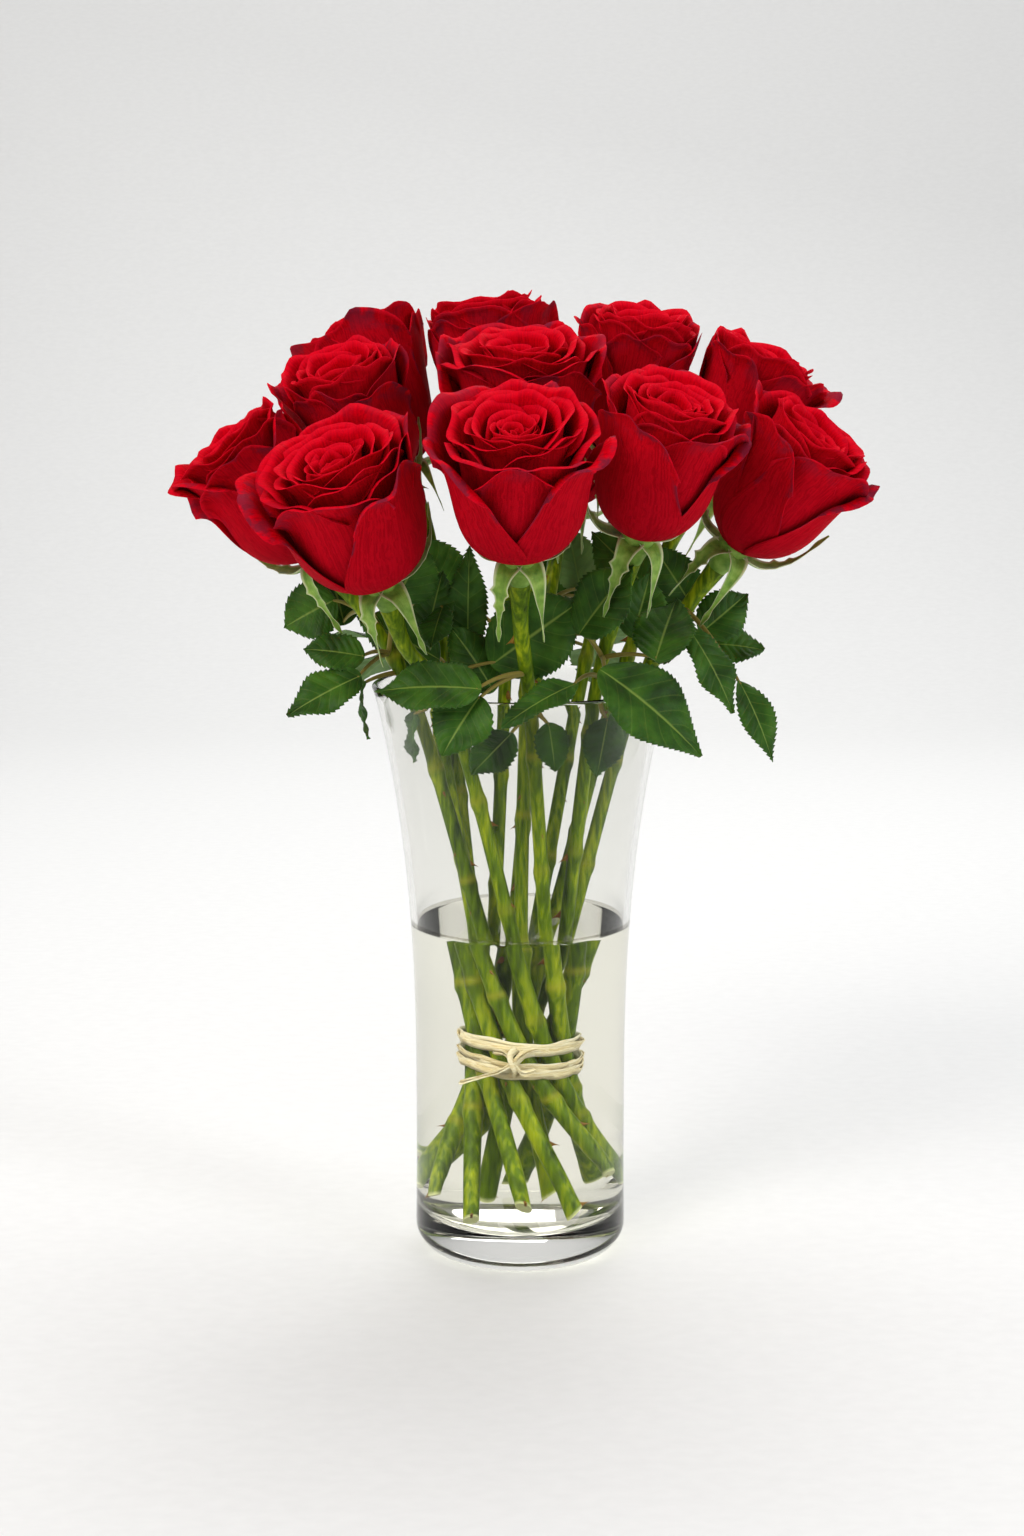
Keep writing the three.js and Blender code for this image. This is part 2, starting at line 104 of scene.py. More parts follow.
# %% The roses
Rose = namedtuple("Rose", "ring place azimuth reach top lean leans_to spread cut")
ROSES = {
    "front": Rose("outer", 0, 269, 95, 109, 28, 268, 33, 8),
    "front_right": Rose("outer", 1, 311, 90, 116, 27, 300, 31, 4),
    "right": Rose("outer", 2, 348, 121, 103, 38, 332, 31, 14),
    "back_right": Rose("outer", 3, 15, 106, 132, 27, 345, 28, 5),
    "back": Rose("outer", 4, 76, 102, 120, 32, 78, 31, 9),
    "back_left": Rose("outer", 5, 108, 54, 151, 8, 175, 30, 4),
    "left_back": Rose("outer", 6, 138, 92, 141, 24, 142, 30, 12),
    "middle_left": Rose("outer", 7, 182, 75, 129, 26, 231, 31, 7),
    "left": Rose("outer", 8, 188, 119, 100, 38, 192, 31, 18),
    "front_left": Rose("outer", 9, 229, 108, 96, 32, 238, 34, 6),
    "middle": Rose("core", 0, 271, 18, 137, 18, 262, 33, 10),
    "middle_back": Rose("core", 1, 28, 59, 146, 15, 300, 28, 6),
}
Ring = namedtuple("Ring", "count first_azimuth foot_turn mouth_turn")
RINGS = {"outer": Ring(10, 349, 67, 5), "core": Ring(2, 290, 40, 4)}

# %% [markdown]
# The sizes that several pieces share are the ones the frame was made with.

# %% Shared sizes
VASE_HEIGHT, MOUTH_RADIUS, WAIST_RADIUS, WAIST_HEIGHT = 243, 61.5, 44.4, 70
FLARE_POWER, FOOT_SWELL, FOOT_CORNER, WALL = 2.5, 0.7, 10, 2.6
FLOOR_THICKNESS, FLOOR_CORNER = 16, 9
WATER_HEIGHT, TIE_HEIGHT, KNOT_AZIMUTH = 142, 88, 264
STEM_RADIUS, HIP_LENGTH, NECK_LENGTH, BLOOM_HEIGHT = 3.2, 11, 20, 59
BODY_SHARE = 0.55  # where the middle of a bloom's body is, as a share of its height
STEM_SLANT = 1.15  # how much wider a leaning stem's section is at the tie
BUNDLE_GAP, CORE_GAP = 1.4, 1.2  # between neighbouring stems at the tie, in the ring and in the core
TOUCH_GAP, TIE_CLEARANCE, FOOT_CLEARANCE, MOUTH_CLEARANCE = 0.3, 0.6, 5, 0.9
OUTER_RING = (2 * STEM_RADIUS * STEM_SLANT + BUNDLE_GAP) / (2 * math.sin(math.pi / RINGS["outer"].count))
CORE_RING = (2 * STEM_RADIUS + CORE_GAP) / 2


def polar(azimuth, reach, z):
    """A point given by its azimuth in degrees, its reach from the axis and its height."""
    angle = math.radians(azimuth)
    return np.array([reach * math.cos(angle), reach * math.sin(angle), z])


def leaning(lean, azimuth):
    """A unit vector that leans from straight up towards an azimuth."""
    return polar(azimuth, math.sin(math.radians(lean)), math.cos(math.radians(lean)))


def stand_of(rose):
    """The axis of a rose's bloom, its base and the middle of its body."""
    axis = leaning(rose.lean, rose.leans_to)
    base = polar(rose.azimuth, rose.reach, VASE_HEIGHT + rose.top) - axis * BLOOM_HEIGHT
    return axis, base, base + axis * BODY_SHARE * BLOOM_HEIGHT


# %% [markdown]
# ## Small tools
# Colours are written as sRGB hex and turned into the linear values that the shaders use. Every node, of a
# material or of a Geometry Nodes tree, is added by one function, which also sets its values and links.

# %% Colours and nodes


def linear(code):
    """A linear RGBA colour from an sRGB hex code."""
    parts = [int(code[i : i + 2], 16) / 255 for i in (1, 3, 5)]
    return [c / 12.92 if c <= 0.04045 else ((c + 0.055) / 1.055) ** 2.4 for c in parts] + [1.0]


def add(tree, kind, inputs=None, stops=None, **settings):
    """Adds a node. An input takes a value, a node (its first output) or a socket; stops fill a ramp."""
    node = tree.nodes.new(kind)
    for name, value in settings.items():
        setattr(node, name, value)
    for key, value in (inputs or {}).items():
        if isinstance(value, bpy.types.Node):
            tree.links.new(value.outputs[0], node.inputs[key])
        elif isinstance(value, bpy.types.NodeSocket):
            tree.links.new(value, node.inputs[key])
        else:
            node.inputs[key].default_value = value
    if stops:
        while len(node.color_ramp.elements) < len(stops):
            node.color_ramp.elements.new(0.5)
        for element, (position, colour) in zip(node.color_ramp.elements, stops):
            element.position = position
            element.color = colour
    return node


def start_finish(name, **constants):
    """A new material with its Principled shader's constant values set: (material, tree, shader)."""
    material = bpy.data.materials.new(name)
    material.use_nodes = True
    shader = material.node_tree.nodes["Principled BSDF"]
    for key, value in constants.items():
        shader.inputs[key.replace("_", " ")].default_value = value
    return material, material.node_tree, shader


# %% [markdown]
# Most pieces are sheets: petals, sepals and leaflets are all a grid of points with a front and a back.
# A piece is put together from patches, each a set of points, its faces and a few values kept at each point,
# such as how far along the petal it lies. The materials read those values, so a vein follows its petal.

# %% Patches and meshes


def sheet(front, back, **values):
    """A thin closed sheet from two grids of points, rows by columns: its points, faces and values."""
    rows, cols = front.shape[:2]
    points = np.concatenate([front.reshape(-1, 3), back.reshape(-1, 3)])
    corner = (np.arange(rows - 1)[:, None] * cols + np.arange(cols - 1)[None, :]).ravel()
    quads = np.stack([corner, corner + 1, corner + cols + 1, corner + cols], 1)
    under = rows * cols
    around = np.concatenate([
        np.arange(cols),
        np.arange(2 * cols - 1, under, cols),
        np.arange(under - 2, under - cols - 1, -1),
        np.arange(under - 2 * cols, 0, -cols),
    ])
    following = np.roll(around, -1)
    edge = np.stack([following, around, around + under, following + under], 1)
    faces = np.concatenate([quads, quads[:, ::-1] + under, edge])
    kept = {k: np.tile(np.broadcast_to(v, (rows, cols)).ravel(), 2) for k, v in values.items()}
    kept["side"] = np.repeat([0.0, 1.0], under)
    return points, faces, kept


def tube(path, radii, sides=12, **values):
    """A round tube along a path of points, closed at both ends: its points, faces and values."""
    path = np.asarray(path, float)
    count = len(path)
    tangents = np.gradient(path, axis=0)
    tangents /= np.linalg.norm(tangents, axis=1)[:, None]
    side = np.cross(tangents[0], [0.3, 0.5, 0.8])
    rings = []
    turn = np.linspace(0, 2 * np.pi, sides, endpoint=False)
    for point, tangent, radius in zip(path, tangents, np.broadcast_to(radii, count)):
        side = side - tangent * (side @ tangent)
        side /= np.linalg.norm(side)
        other = np.cross(tangent, side)
        rings.append(point + radius * (np.outer(np.cos(turn), side) + np.outer(np.sin(turn), other)))
    points = np.concatenate([*rings, path[:1], path[-1:]])
    ring = np.arange(sides)
    after = (ring + 1) % sides
    faces = [
        [i * sides + a, i * sides + b, (i + 1) * sides + b, (i + 1) * sides + a]
        for i in range(count - 1)
        for a, b in zip(ring, after)
    ]
    ends = count * sides
    faces += [[ends, b, a, a] for a, b in zip(ring, after)]
    last = (count - 1) * sides
    faces += [[ends + 1, last + a, last + b, last + b] for a, b in zip(ring, after)]
    along = np.append(np.repeat(np.linspace(0, 1, count), sides), [0, 1])
    kept = {"along": along, **{k: np.full(len(points), v) for k, v in values.items()}}
    return points, np.array(faces), kept


def mesh_of(name, patches):
    """One mesh from patches in millimetres, smooth, with the patches' values as point attributes."""
    points = np.concatenate([p for p, _, _ in patches]) * MM
    faces, start = [], 0
    for p, f, _ in patches:
        faces += [tuple(dict.fromkeys(face)) for face in (f + start).tolist()]
        start += len(p)
    mesh = bpy.data.meshes.new(name)
    mesh.from_pydata(points.tolist(), [], faces)
    for key in sorted({k for _, _, kept in patches for k in kept}):
        column = np.concatenate([kept.get(key, np.zeros(len(p))) for p, _, kept in patches])
        mesh.attributes.new(key, "FLOAT", "POINT").data.foreach_set("value", column.astype(np.float32))
    mesh.shade_smooth()
    mesh.validate()
    return mesh


def piece(name, mesh, material, slot, *nodes):
    """A finished piece of the object, which stands for CAD nodes."""
    thing = bpy.data.objects.new(name, mesh)
    scene.collection.objects.link(thing)
    if material:
        mesh.materials.clear()
        mesh.materials.append(material)
    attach(thing, "root")
    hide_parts(*nodes)
    return thing


# %% [markdown]
# A Geometry Nodes tree takes its sizes through named inputs. It is run once on a carrier object, and what
# it grows is kept as a plain mesh, because the finished model can't hold instances or modifiers.

# %% Running a Geometry Nodes tree


def start_tree(name, sockets):
    """A tree with named inputs: (tree, the node that gives the inputs)."""
    tree = bpy.data.node_groups.new(name, "GeometryNodeTree")
    for label, kind in {"Geometry": "NodeSocketGeometry", **sockets}.items():
        tree.interface.new_socket(label, in_out="INPUT", socket_type=kind)
    tree.interface.new_socket("Geometry", in_out="OUTPUT", socket_type="NodeSocketGeometry")
    return tree, tree.nodes.new("NodeGroupInput")


def end_tree(tree, geometry, given):
    """Ends a tree: real geometry with its material."""
    real = add(tree, "GeometryNodeRealizeInstances", {"Geometry": geometry})
    done = add(tree, "GeometryNodeSetMaterial", {"Geometry": real, "Material": given.outputs["Material"]})
    add(tree, "NodeGroupOutput", {"Geometry": done})


def grown(name, tree, carrier_mesh, values):
    """Runs a tree on a mesh and returns the result as a plain mesh."""
    carrier = bpy.data.objects.new(name + "_carrier", carrier_mesh)
    scene.collection.objects.link(carrier)
    modifier = carrier.modifiers.new("grown", "NODES")
    modifier.node_group = tree
    for socket in tree.interface.items_tree:
        if socket.in_out == "INPUT" and socket.name in values:
            modifier[socket.identifier] = values[socket.name]
    graph = bpy.context.evaluated_depsgraph_get()
    mesh = bpy.data.meshes.new_from_object(carrier.evaluated_get(graph), depsgraph=graph)
    mesh.name = name
    bpy.data.objects.remove(carrier)
    mesh.shade_smooth()
    return mesh


def path_mesh(name, path, **values):
    """A line of edges through points in millimetres, which a tree can turn into a curve."""
    mesh = bpy.data.meshes.new(name)
    mesh.from_pydata((np.asarray(path) * MM).tolist(), [(i, i + 1) for i in range(len(path) - 1)], [])
    for key, column in values.items():
        mesh.attributes.new(key, "FLOAT", "POINT").data.foreach_set("value", np.asarray(column, np.float32))
    return mesh


def moved(mesh, change):
    """Replaces a mesh's points by what change makes of them, in millimetres."""
    points = np.empty(len(mesh.vertices) * 3)
    mesh.vertices.foreach_get("co", points)
    mesh.vertices.foreach_set("co", (change(points.reshape(-1, 3) / MM) * MM).ravel())
    mesh.update()


# %% [markdown]
# ## The vase
# It is pressed or blown clear glass with a thick base. A lathe makes it in one closed wall, inside and out,
# because glass only bends light as it should if each ray that goes in also comes out of it. The profile has
# many more steps than the frame's, so that the reflections run smoothly up the flare.

# %% The vase's profile


def outer_radius(z):
    z = np.asarray(z, float)
    low = WAIST_RADIUS + FOOT_SWELL * (np.clip(WAIST_HEIGHT - z, 0, None) / WAIST_HEIGHT) ** 2
    share = np.clip(z - WAIST_HEIGHT, 0, None) / (VASE_HEIGHT - WAIST_HEIGHT)
    return low + (MOUTH_RADIUS - WAIST_RADIUS) * share**FLARE_POWER


def arc(centre, height, radius, start, end, steps):
    """Points of an arc, as (radius, height) pairs."""
    angles = np.radians(np.linspace(start, end, steps))
    return np.stack([centre + radius * np.cos(angles), height + radius * np.sin(angles)], 1)


def turned(profile, segments=144, **values):
    """A profile of (radius, height) pairs turned about +Z, its ends on the axis."""
    profile = np.asarray(profile, float)
    turn = np.linspace(0, 2 * np.pi, segments, endpoint=False)
    inner = profile[1:-1]
    rings = [np.stack([r * np.cos(turn), r * np.sin(turn), np.full(segments, z)], 1) for r, z in inner]
    points = np.concatenate([*rings, [[0, 0, profile[0][1]], [0, 0, profile[-1][1]]]])
    a = np.arange(segments)
    b = (a + 1) % segments
    faces = []
    for start in range(0, (len(inner) - 1) * segments, segments):
        above = start + segments
        faces.append(np.stack([start + a, start + b, above + b, above + a], 1))
    first, last = len(points) - 2, len(points) - 1
    top = (len(inner) - 1) * segments
    faces.append(np.stack([np.full(segments, first), b, a, a], 1))
    faces.append(np.stack([np.full(segments, last), top + a, top + b, top + b], 1))
    return points, np.concatenate(faces), {k: np.full(len(points), v) for k, v in values.items()}


def vase_profile():
    lip = WALL / 2
    outside = np.linspace(FOOT_CORNER, VASE_HEIGHT - lip, 60)[1:-1]
    inside = np.linspace(VASE_HEIGHT - lip, FLOOR_THICKNESS + FLOOR_CORNER, 56)[1:-1]
    foot = outer_radius(FOOT_CORNER) - FOOT_CORNER
    floor = outer_radius(FLOOR_THICKNESS + FLOOR_CORNER) - WALL - FLOOR_CORNER
    return np.concatenate([
        [[0, 0.6], [0.8 * foot, 0.5], [0.94 * foot, 0]],
        arc(foot, FOOT_CORNER, FOOT_CORNER, -90, 0, 14),
        np.stack([outer_radius(outside), outside], 1),
        arc(MOUTH_RADIUS - lip, VASE_HEIGHT - lip, lip, 0, 180, 11),
        np.stack([outer_radius(inside) - WALL, inside], 1),
        arc(floor, FLOOR_THICKNESS + FLOOR_CORNER, FLOOR_CORNER, 0, -90, 12),
        [[0.6 * floor, FLOOR_THICKNESS + 0.1], [0, FLOOR_THICKNESS + 0.3]],
    ])


# %% [markdown]
# Clear glass and water are Principled shaders with full transmission, at the index of refraction of
# soda-lime glass and of water. Light from a lamp can't be aimed through bent surfaces, so for shadow rays
# alone each gives way to a faintly tinted clear shader, and the stems inside are lit without speckles. The
# open surface of the water also lets most light straight through, or it would look far too dark.

# %% Glass and water


def clear_finish(name, colour, shade, ior, calm=None):
    """A clear material; shade is what it takes from the light of a lamp that shines through.

    Above the height calm, where the surface is seen nearly edge on, most of the light passes unbent."""
    material, tree, shader = start_finish(
        name, Base_Color=linear(colour), Roughness=0.0, IOR=ior, Transmission_Weight=1.0,
        Specular_Tint=linear("#747474"),
    )
    path = add(tree, "ShaderNodeLightPath")
    open_way = add(tree, "ShaderNodeBsdfTransparent", {"Color": linear(shade)})
    straight = path.outputs["Is Shadow Ray"]
    if calm:
        place = add(tree, "ShaderNodeTexCoord")
        height = add(tree, "ShaderNodeSeparateXYZ", {0: place.outputs["Object"]})
        on_top = add(tree, "ShaderNodeMapRange", {
            "Value": height.outputs[2], "From Min": (calm - 0.3) * MM, "From Max": (calm - 0.1) * MM,
            "To Min": 0.0, "To Max": 0.75,
        })
        straight = add(tree, "ShaderNodeMath", {0: on_top, 1: straight}, operation="MAXIMUM")
    mixed = add(tree, "ShaderNodeMixShader", {0: straight, 1: shader, 2: open_way})
    tree.links.new(mixed.outputs[0], tree.nodes["Material Output"].inputs["Surface"])
    return material


glass = clear_finish("clear_glass", "#F3F3F0", "#FAFBFA", 1.52)
water_finish = clear_finish("water", "#FFFEF7", "#FBFAF6", 1.333, WATER_HEIGHT)
vase = piece("vase", mesh_of("vase", [turned(vase_profile())]), glass, "glass", "vase")
print("vase:", len(vase.data.polygons), "faces")

# %% [markdown]
# Water wets glass, so its edge climbs the wall in a small curve, the meniscus. The water's skin runs a
# fraction of a millimetre inside the glass: a gap would look like a silvery layer of air.

# %% The water


def water_profile():
    dip, climb, bite = 2.0, 1.6, 0.12
    floor = outer_radius(FLOOR_THICKNESS + FLOOR_CORNER) - WALL - FLOOR_CORNER
    heights = np.linspace(FLOOR_THICKNESS + FLOOR_CORNER, WATER_HEIGHT + climb, 44)
    edge = float(outer_radius(WATER_HEIGHT + climb)) - WALL + bite
    across = np.linspace(0, 1, 9)[1:]
    meniscus = np.stack([edge - dip * across, WATER_HEIGHT + climb * (1 - across) ** 2.2], 1)
    return np.concatenate([
        [[0, FLOOR_THICKNESS + 0.3 - bite]],
        arc(floor, FLOOR_THICKNESS + FLOOR_CORNER, FLOOR_CORNER + bite, -90, 0, 12),
        np.stack([outer_radius(heights) - WALL + bite, heights], 1)[1:],
        meniscus,
        [[0.5 * edge, WATER_HEIGHT], [0, WATER_HEIGHT]],
    ])


water = piece("water", mesh_of("water", [turned(water_profile())]), water_finish, "water", "water")
print("water:", len(water.data.polygons), "faces")

# %% [markdown]
# ## Stems
# A stem runs from its cut end by the wall, through its place at the tie, past the mouth and up to its
# bloom. The curve is the same centripetal Catmull-Rom spline that the frame was made with, so each
# stem lies exactly where its plain one did.

# %% The stems' paths


def spline(points, steps):
    """A centripetal Catmull-Rom curve through points."""
    points = [np.asarray(p, float) for p in points]
    points = [2 * points[0] - points[1], *points, 2 * points[-1] - points[-2]]
    made = []
    for i in range(1, len(points) - 2):
        p0, p1, p2, p3 = points[i - 1 : i + 3]
        d0, d1, d2 = (math.sqrt(np.linalg.norm(b - a)) for a, b in ((p0, p1), (p1, p2), (p2, p3)))
        t1 = ((p1 - p0) / d0 - (p2 - p0) / (d0 + d1) + (p2 - p1) / d1) * d1
        t2 = ((p2 - p1) / d1 - (p3 - p1) / (d1 + d2) + (p3 - p2) / d2) * d1
        w = np.linspace(0, 1, steps, endpoint=False)[:, None]
        square, cube = -3 * p1 + 3 * p2 - 2 * t1 - t2, 2 * p1 - 2 * p2 + t1 + t2
        made.append(p1 + t1 * w + square * w**2 + cube * w**3)
    return np.concatenate([*made, points[-2:-1]])


CORE_FOOT_REACH = 12
MOUTH_SHARE = 0.74  # how far out a stem passes the mouth, as a share of its neck's reach
PATH_STEPS = 16


def stem_path(rose):
    ring = RINGS[rose.ring]
    axis, base, _ = stand_of(rose)
    tie_azimuth = ring.first_azimuth + 360 * rose.place / ring.count
    foot_z = FLOOR_THICKNESS + rose.cut
    by_wall = float(outer_radius(foot_z)) - WALL - STEM_RADIUS - FOOT_CLEARANCE
    top = base - axis * (HIP_LENGTH + TOUCH_GAP)
    neck = top - axis * NECK_LENGTH
    azimuth = math.degrees(math.atan2(neck[1], neck[0]))
    widest = MOUTH_RADIUS - WALL - STEM_RADIUS - MOUTH_CLEARANCE
    reach = min(MOUTH_SHARE * math.hypot(neck[0], neck[1]), widest)
    return spline([
        polar(tie_azimuth + ring.foot_turn, by_wall if rose.ring == "outer" else CORE_FOOT_REACH, foot_z),
        polar(tie_azimuth, OUTER_RING if rose.ring == "outer" else CORE_RING, TIE_HEIGHT),
        polar(azimuth + ring.mouth_turn, reach, VASE_HEIGHT),
        neck,
        top,
    ], PATH_STEPS)


# %% [markdown]
# A rose's stem is not a plain rod: it thickens under the hip, swells at each scar where a leaf was stripped
# off, and carries hooked prickles. One tree sweeps a ring along the path and sets the prickles round it.

# %% The tree that grows a stem


def stem_tree():
    tree, given = start_tree("stem with prickles", {
        "Sides": "NodeSocketInt",
        "Prickle": "NodeSocketObject",
        "Prickles": "NodeSocketInt",
        "Seed": "NodeSocketInt",
        "Material": "NodeSocketMaterial",
    })
    curve = add(tree, "GeometryNodeMeshToCurve", {"Mesh": given.outputs["Geometry"]})
    share = add(tree, "GeometryNodeSplineParameter")
    marked = add(tree, "GeometryNodeStoreNamedAttribute",
                 {"Geometry": curve, "Name": "along", "Value": share.outputs["Factor"]})
    thick = add(tree, "GeometryNodeInputNamedAttribute", {"Name": "thick"})
    ring = add(tree, "GeometryNodeCurvePrimitiveCircle",
               {"Resolution": given.outputs["Sides"], "Radius": 1.0})
    swept = add(tree, "GeometryNodeCurveToMesh",
                {"Curve": marked, "Profile Curve": ring, "Scale": thick, "Fill Caps": True})
    even = add(tree, "GeometryNodeCurveToPoints", {"Curve": marked, "Count": given.outputs["Prickles"]})
    number = add(tree, "GeometryNodeInputIndex")
    spin = add(tree, "FunctionNodeRandomValue",
               {2: 0.0, 3: 2 * math.pi, "ID": number, "Seed": given.outputs["Seed"]})
    about = add(tree, "FunctionNodeAxisAngleToRotation", {"Axis": (0, 0, 1), "Angle": spin.outputs[1]})
    facing = add(tree, "FunctionNodeRotateRotation",
                 {"Rotation": even.outputs["Rotation"], "Rotate By": about}, rotation_space="LOCAL")
    size = add(tree, "FunctionNodeRandomValue",
               {2: 0.45, 3: 1.1, "ID": number, "Seed": given.outputs["Seed"]})
    source = add(tree, "GeometryNodeObjectInfo", {"Object": given.outputs["Prickle"]})
    set_on = add(tree, "GeometryNodeInstanceOnPoints", {
        "Points": even.outputs["Points"], "Instance": source.outputs["Geometry"],
        "Rotation": facing, "Scale": size.outputs[1],
    })
    both = add(tree, "GeometryNodeJoinGeometry", {"Geometry": swept})
    tree.links.new(set_on.outputs[0], both.inputs[0])
    end_tree(tree, both, given)
    return tree


# %% [markdown]
# The prickle is a hooked cone whose tip turns down the stem. It is modelled along +X, at the stem's own
# radius, with the stem's direction along +Z.

# %% One prickle


def prickle_mesh():
    reach = np.linspace(0, 1, 6)
    centre = np.stack([STEM_RADIUS - 0.5 + 3.6 * reach, 0 * reach, 0.6 - 1.8 * reach**2], 1)
    patch = tube(centre, 0.95 * (1 - reach) ** 1.3 + 0.04, 7, prickle=1.0)
    points = patch[0]
    points[:, 2] *= 1 + 1.2 * np.clip(1 - (points[:, 0] - STEM_RADIUS + 0.5) / 2.4, 0, 1)
    return mesh_of("prickle", [patch])


prickle = bpy.data.objects.new("prickle_source", prickle_mesh())
grow_stem = stem_tree()

# %% [markdown]
# The stem's skin is waxy and yellow-green, streaked along its length, with a yellower ring at each scar and
# brown prickles. The cut end shows pale pith. Most of the skin is seen through glass and water, which leave
# it little gloss of its own.

# %% The stem's finish


def stem_finish():
    material, tree, shader = start_finish("rose_stem", Roughness=0.42, IOR=1.45, Specular_IOR_Level=0.2)
    along = add(tree, "ShaderNodeAttribute", attribute_name="along")
    spike = add(tree, "ShaderNodeAttribute", attribute_name="prickle")
    place = add(tree, "ShaderNodeTexCoord")
    # Streaks about 1.5 mm wide and 12 mm long.
    drawn = add(tree, "ShaderNodeMapping",
                {"Vector": place.outputs["Object"], "Scale": (1.0, 1.0, 0.12)})
    streaks = add(tree, "ShaderNodeTexNoise", {"Vector": drawn, "Scale": 600.0, "Detail": 3.0})
    # Patches of lighter and darker green about 8 mm wide and 60 mm long.
    broad = add(tree, "ShaderNodeTexNoise", {"Vector": drawn, "Scale": 130.0, "Detail": 2.0})
    mixed = add(tree, "ShaderNodeMath", {0: streaks.outputs["Fac"], 1: broad.outputs["Fac"]},
                operation="ADD")
    half = add(tree, "ShaderNodeMath", {0: mixed, 1: 0.5}, operation="MULTIPLY")
    green = add(tree, "ShaderNodeValToRGB", {"Fac": half}, stops=[
        (0.34, linear("#283F00")), (0.5, linear("#5C7800")), (0.68, linear("#A6B416")),
    ])
    joint = add(tree, "ShaderNodeAttribute", attribute_name="joint")
    ringed = add(tree, "ShaderNodeMix", {0: joint.outputs["Fac"], 6: green.outputs["Color"],
                                         7: linear("#A8A428")}, data_type="RGBA")
    near_end = add(tree, "ShaderNodeMapRange", {
        "Value": along.outputs["Fac"], "From Min": 0.0, "From Max": 0.006, "To Min": 1.0, "To Max": 0.0,
    })
    cut = add(tree, "ShaderNodeMix", {0: near_end, 6: ringed.outputs[2], 7: linear("#D9DFA6")},
              data_type="RGBA")
    worn = add(tree, "ShaderNodeMath", {0: spike.outputs["Fac"], 1: 0.75}, operation="MULTIPLY")
    colour = add(tree, "ShaderNodeMix", {0: worn, 6: cut.outputs[2], 7: linear("#8A4A2A")},
                 data_type="RGBA")
    tree.links.new(colour.outputs[2], shader.inputs["Base Color"])
    bump = add(tree, "ShaderNodeBump",
               {"Strength": 0.35, "Distance": 0.0006, "Height": streaks.outputs["Fac"]})
    tree.links.new(bump.outputs[0], shader.inputs["Normal"])
    return material


stem_green = stem_finish()

# %% [markdown]
# Each stem gets its own swellings and its own share of prickles. Its thickness is kept at the points of the
# path, which the tree reads.

# %% Twelve stems
THICKNESS = [3.3, 3.05, 2.75, 3.2, 4.3]  # the stem's radius, from its foot to the hip
THICK_AT = [0, 0.3, 0.8, 0.95, 1]
STATIONS, SCAR_SWELL, SCAR_RING = 110, 0.75, 0.55
scene.collection.objects.link(prickle)
for number, (name, rose) in enumerate(ROSES.items()):
    rng = np.random.default_rng(40 + number)
    path = stem_path(rose)
    far = np.concatenate([[0], np.cumsum(np.linalg.norm(np.diff(path, axis=0), axis=1))])
    thick = np.interp(far / far[-1], THICK_AT, THICKNESS)
    even = np.linspace(0, far[-1], STATIONS)
    path = np.stack([np.interp(even, far, path[:, k]) for k in range(3)], 1)
    thick = np.interp(even, far, thick)
    joint = np.zeros(len(even))
    for scar in np.arange(rng.uniform(30, 60), far[-1] - 40, rng.uniform(38, 56)):
        thick += SCAR_SWELL * np.exp(-(((even - scar) / 3.0) ** 2))
        joint += SCAR_RING * np.exp(-(((even - scar - 2) / 1.3) ** 2))
    carrier = path_mesh("path_" + name, path, thick=thick * MM, joint=joint)
    mesh = grown("stem_" + name, grow_stem, carrier, {
        "Sides": 16, "Prickle": prickle, "Prickles": int(rng.integers(9, 14)), "Seed": 7 + number,
        "Material": stem_green,
    })
    slope = polar(rng.uniform(0, 360), 0.7, 0)

    def cut_aslant(points, foot=path[0], slope=slope):
        reach = points - foot
        near = np.clip(1 - reach[:, 2] / 9, 0, 1) * (np.linalg.norm(reach, axis=1) < 12)
        points[:, 2] += near * (reach @ slope)
        return points

    moved(mesh, cut_aslant)
    piece("stem_" + name, mesh, None, "stem", "stem_" + name)
bpy.data.objects.remove(prickle)
print("stems:", len(ROSES), "of about", len(mesh.polygons), "faces")

# %% [markdown]
# ## Blooms
# A rose's petals sit on a spiral: each is turned 137.5 degrees from the one before, so no two lie in line.
# A petal is made here as a set of columns from its claw to its rim. Each column climbs the wall of its
# layer of the cup and then rolls outwards, and the corners roll first, which is what gives an open rose
# its pointed petals. Inner petals wrap nearly all the way round and hardly roll.

# %% One petal
PETALS, ROWS, COLUMNS = 30, 24, 21
CUP = [(0, 0.1), (0.03, 0.32), (0.1, 0.6), (0.2, 0.8), (0.34, 0.93), (0.5, 0.97), (0.75, 0.98), (1, 1)]
FULL_SPREAD = 31.0


def smooth(x, low, high):
    x = np.clip((x - low) / (high - low), 0, 1)
    return x * x * (3 - 2 * x)


def by_age(share, *stops):
    """A value that changes from the heart of the bloom to its outermost petals."""
    return float(np.interp(share, np.linspace(0, 1, len(stops)), stops))


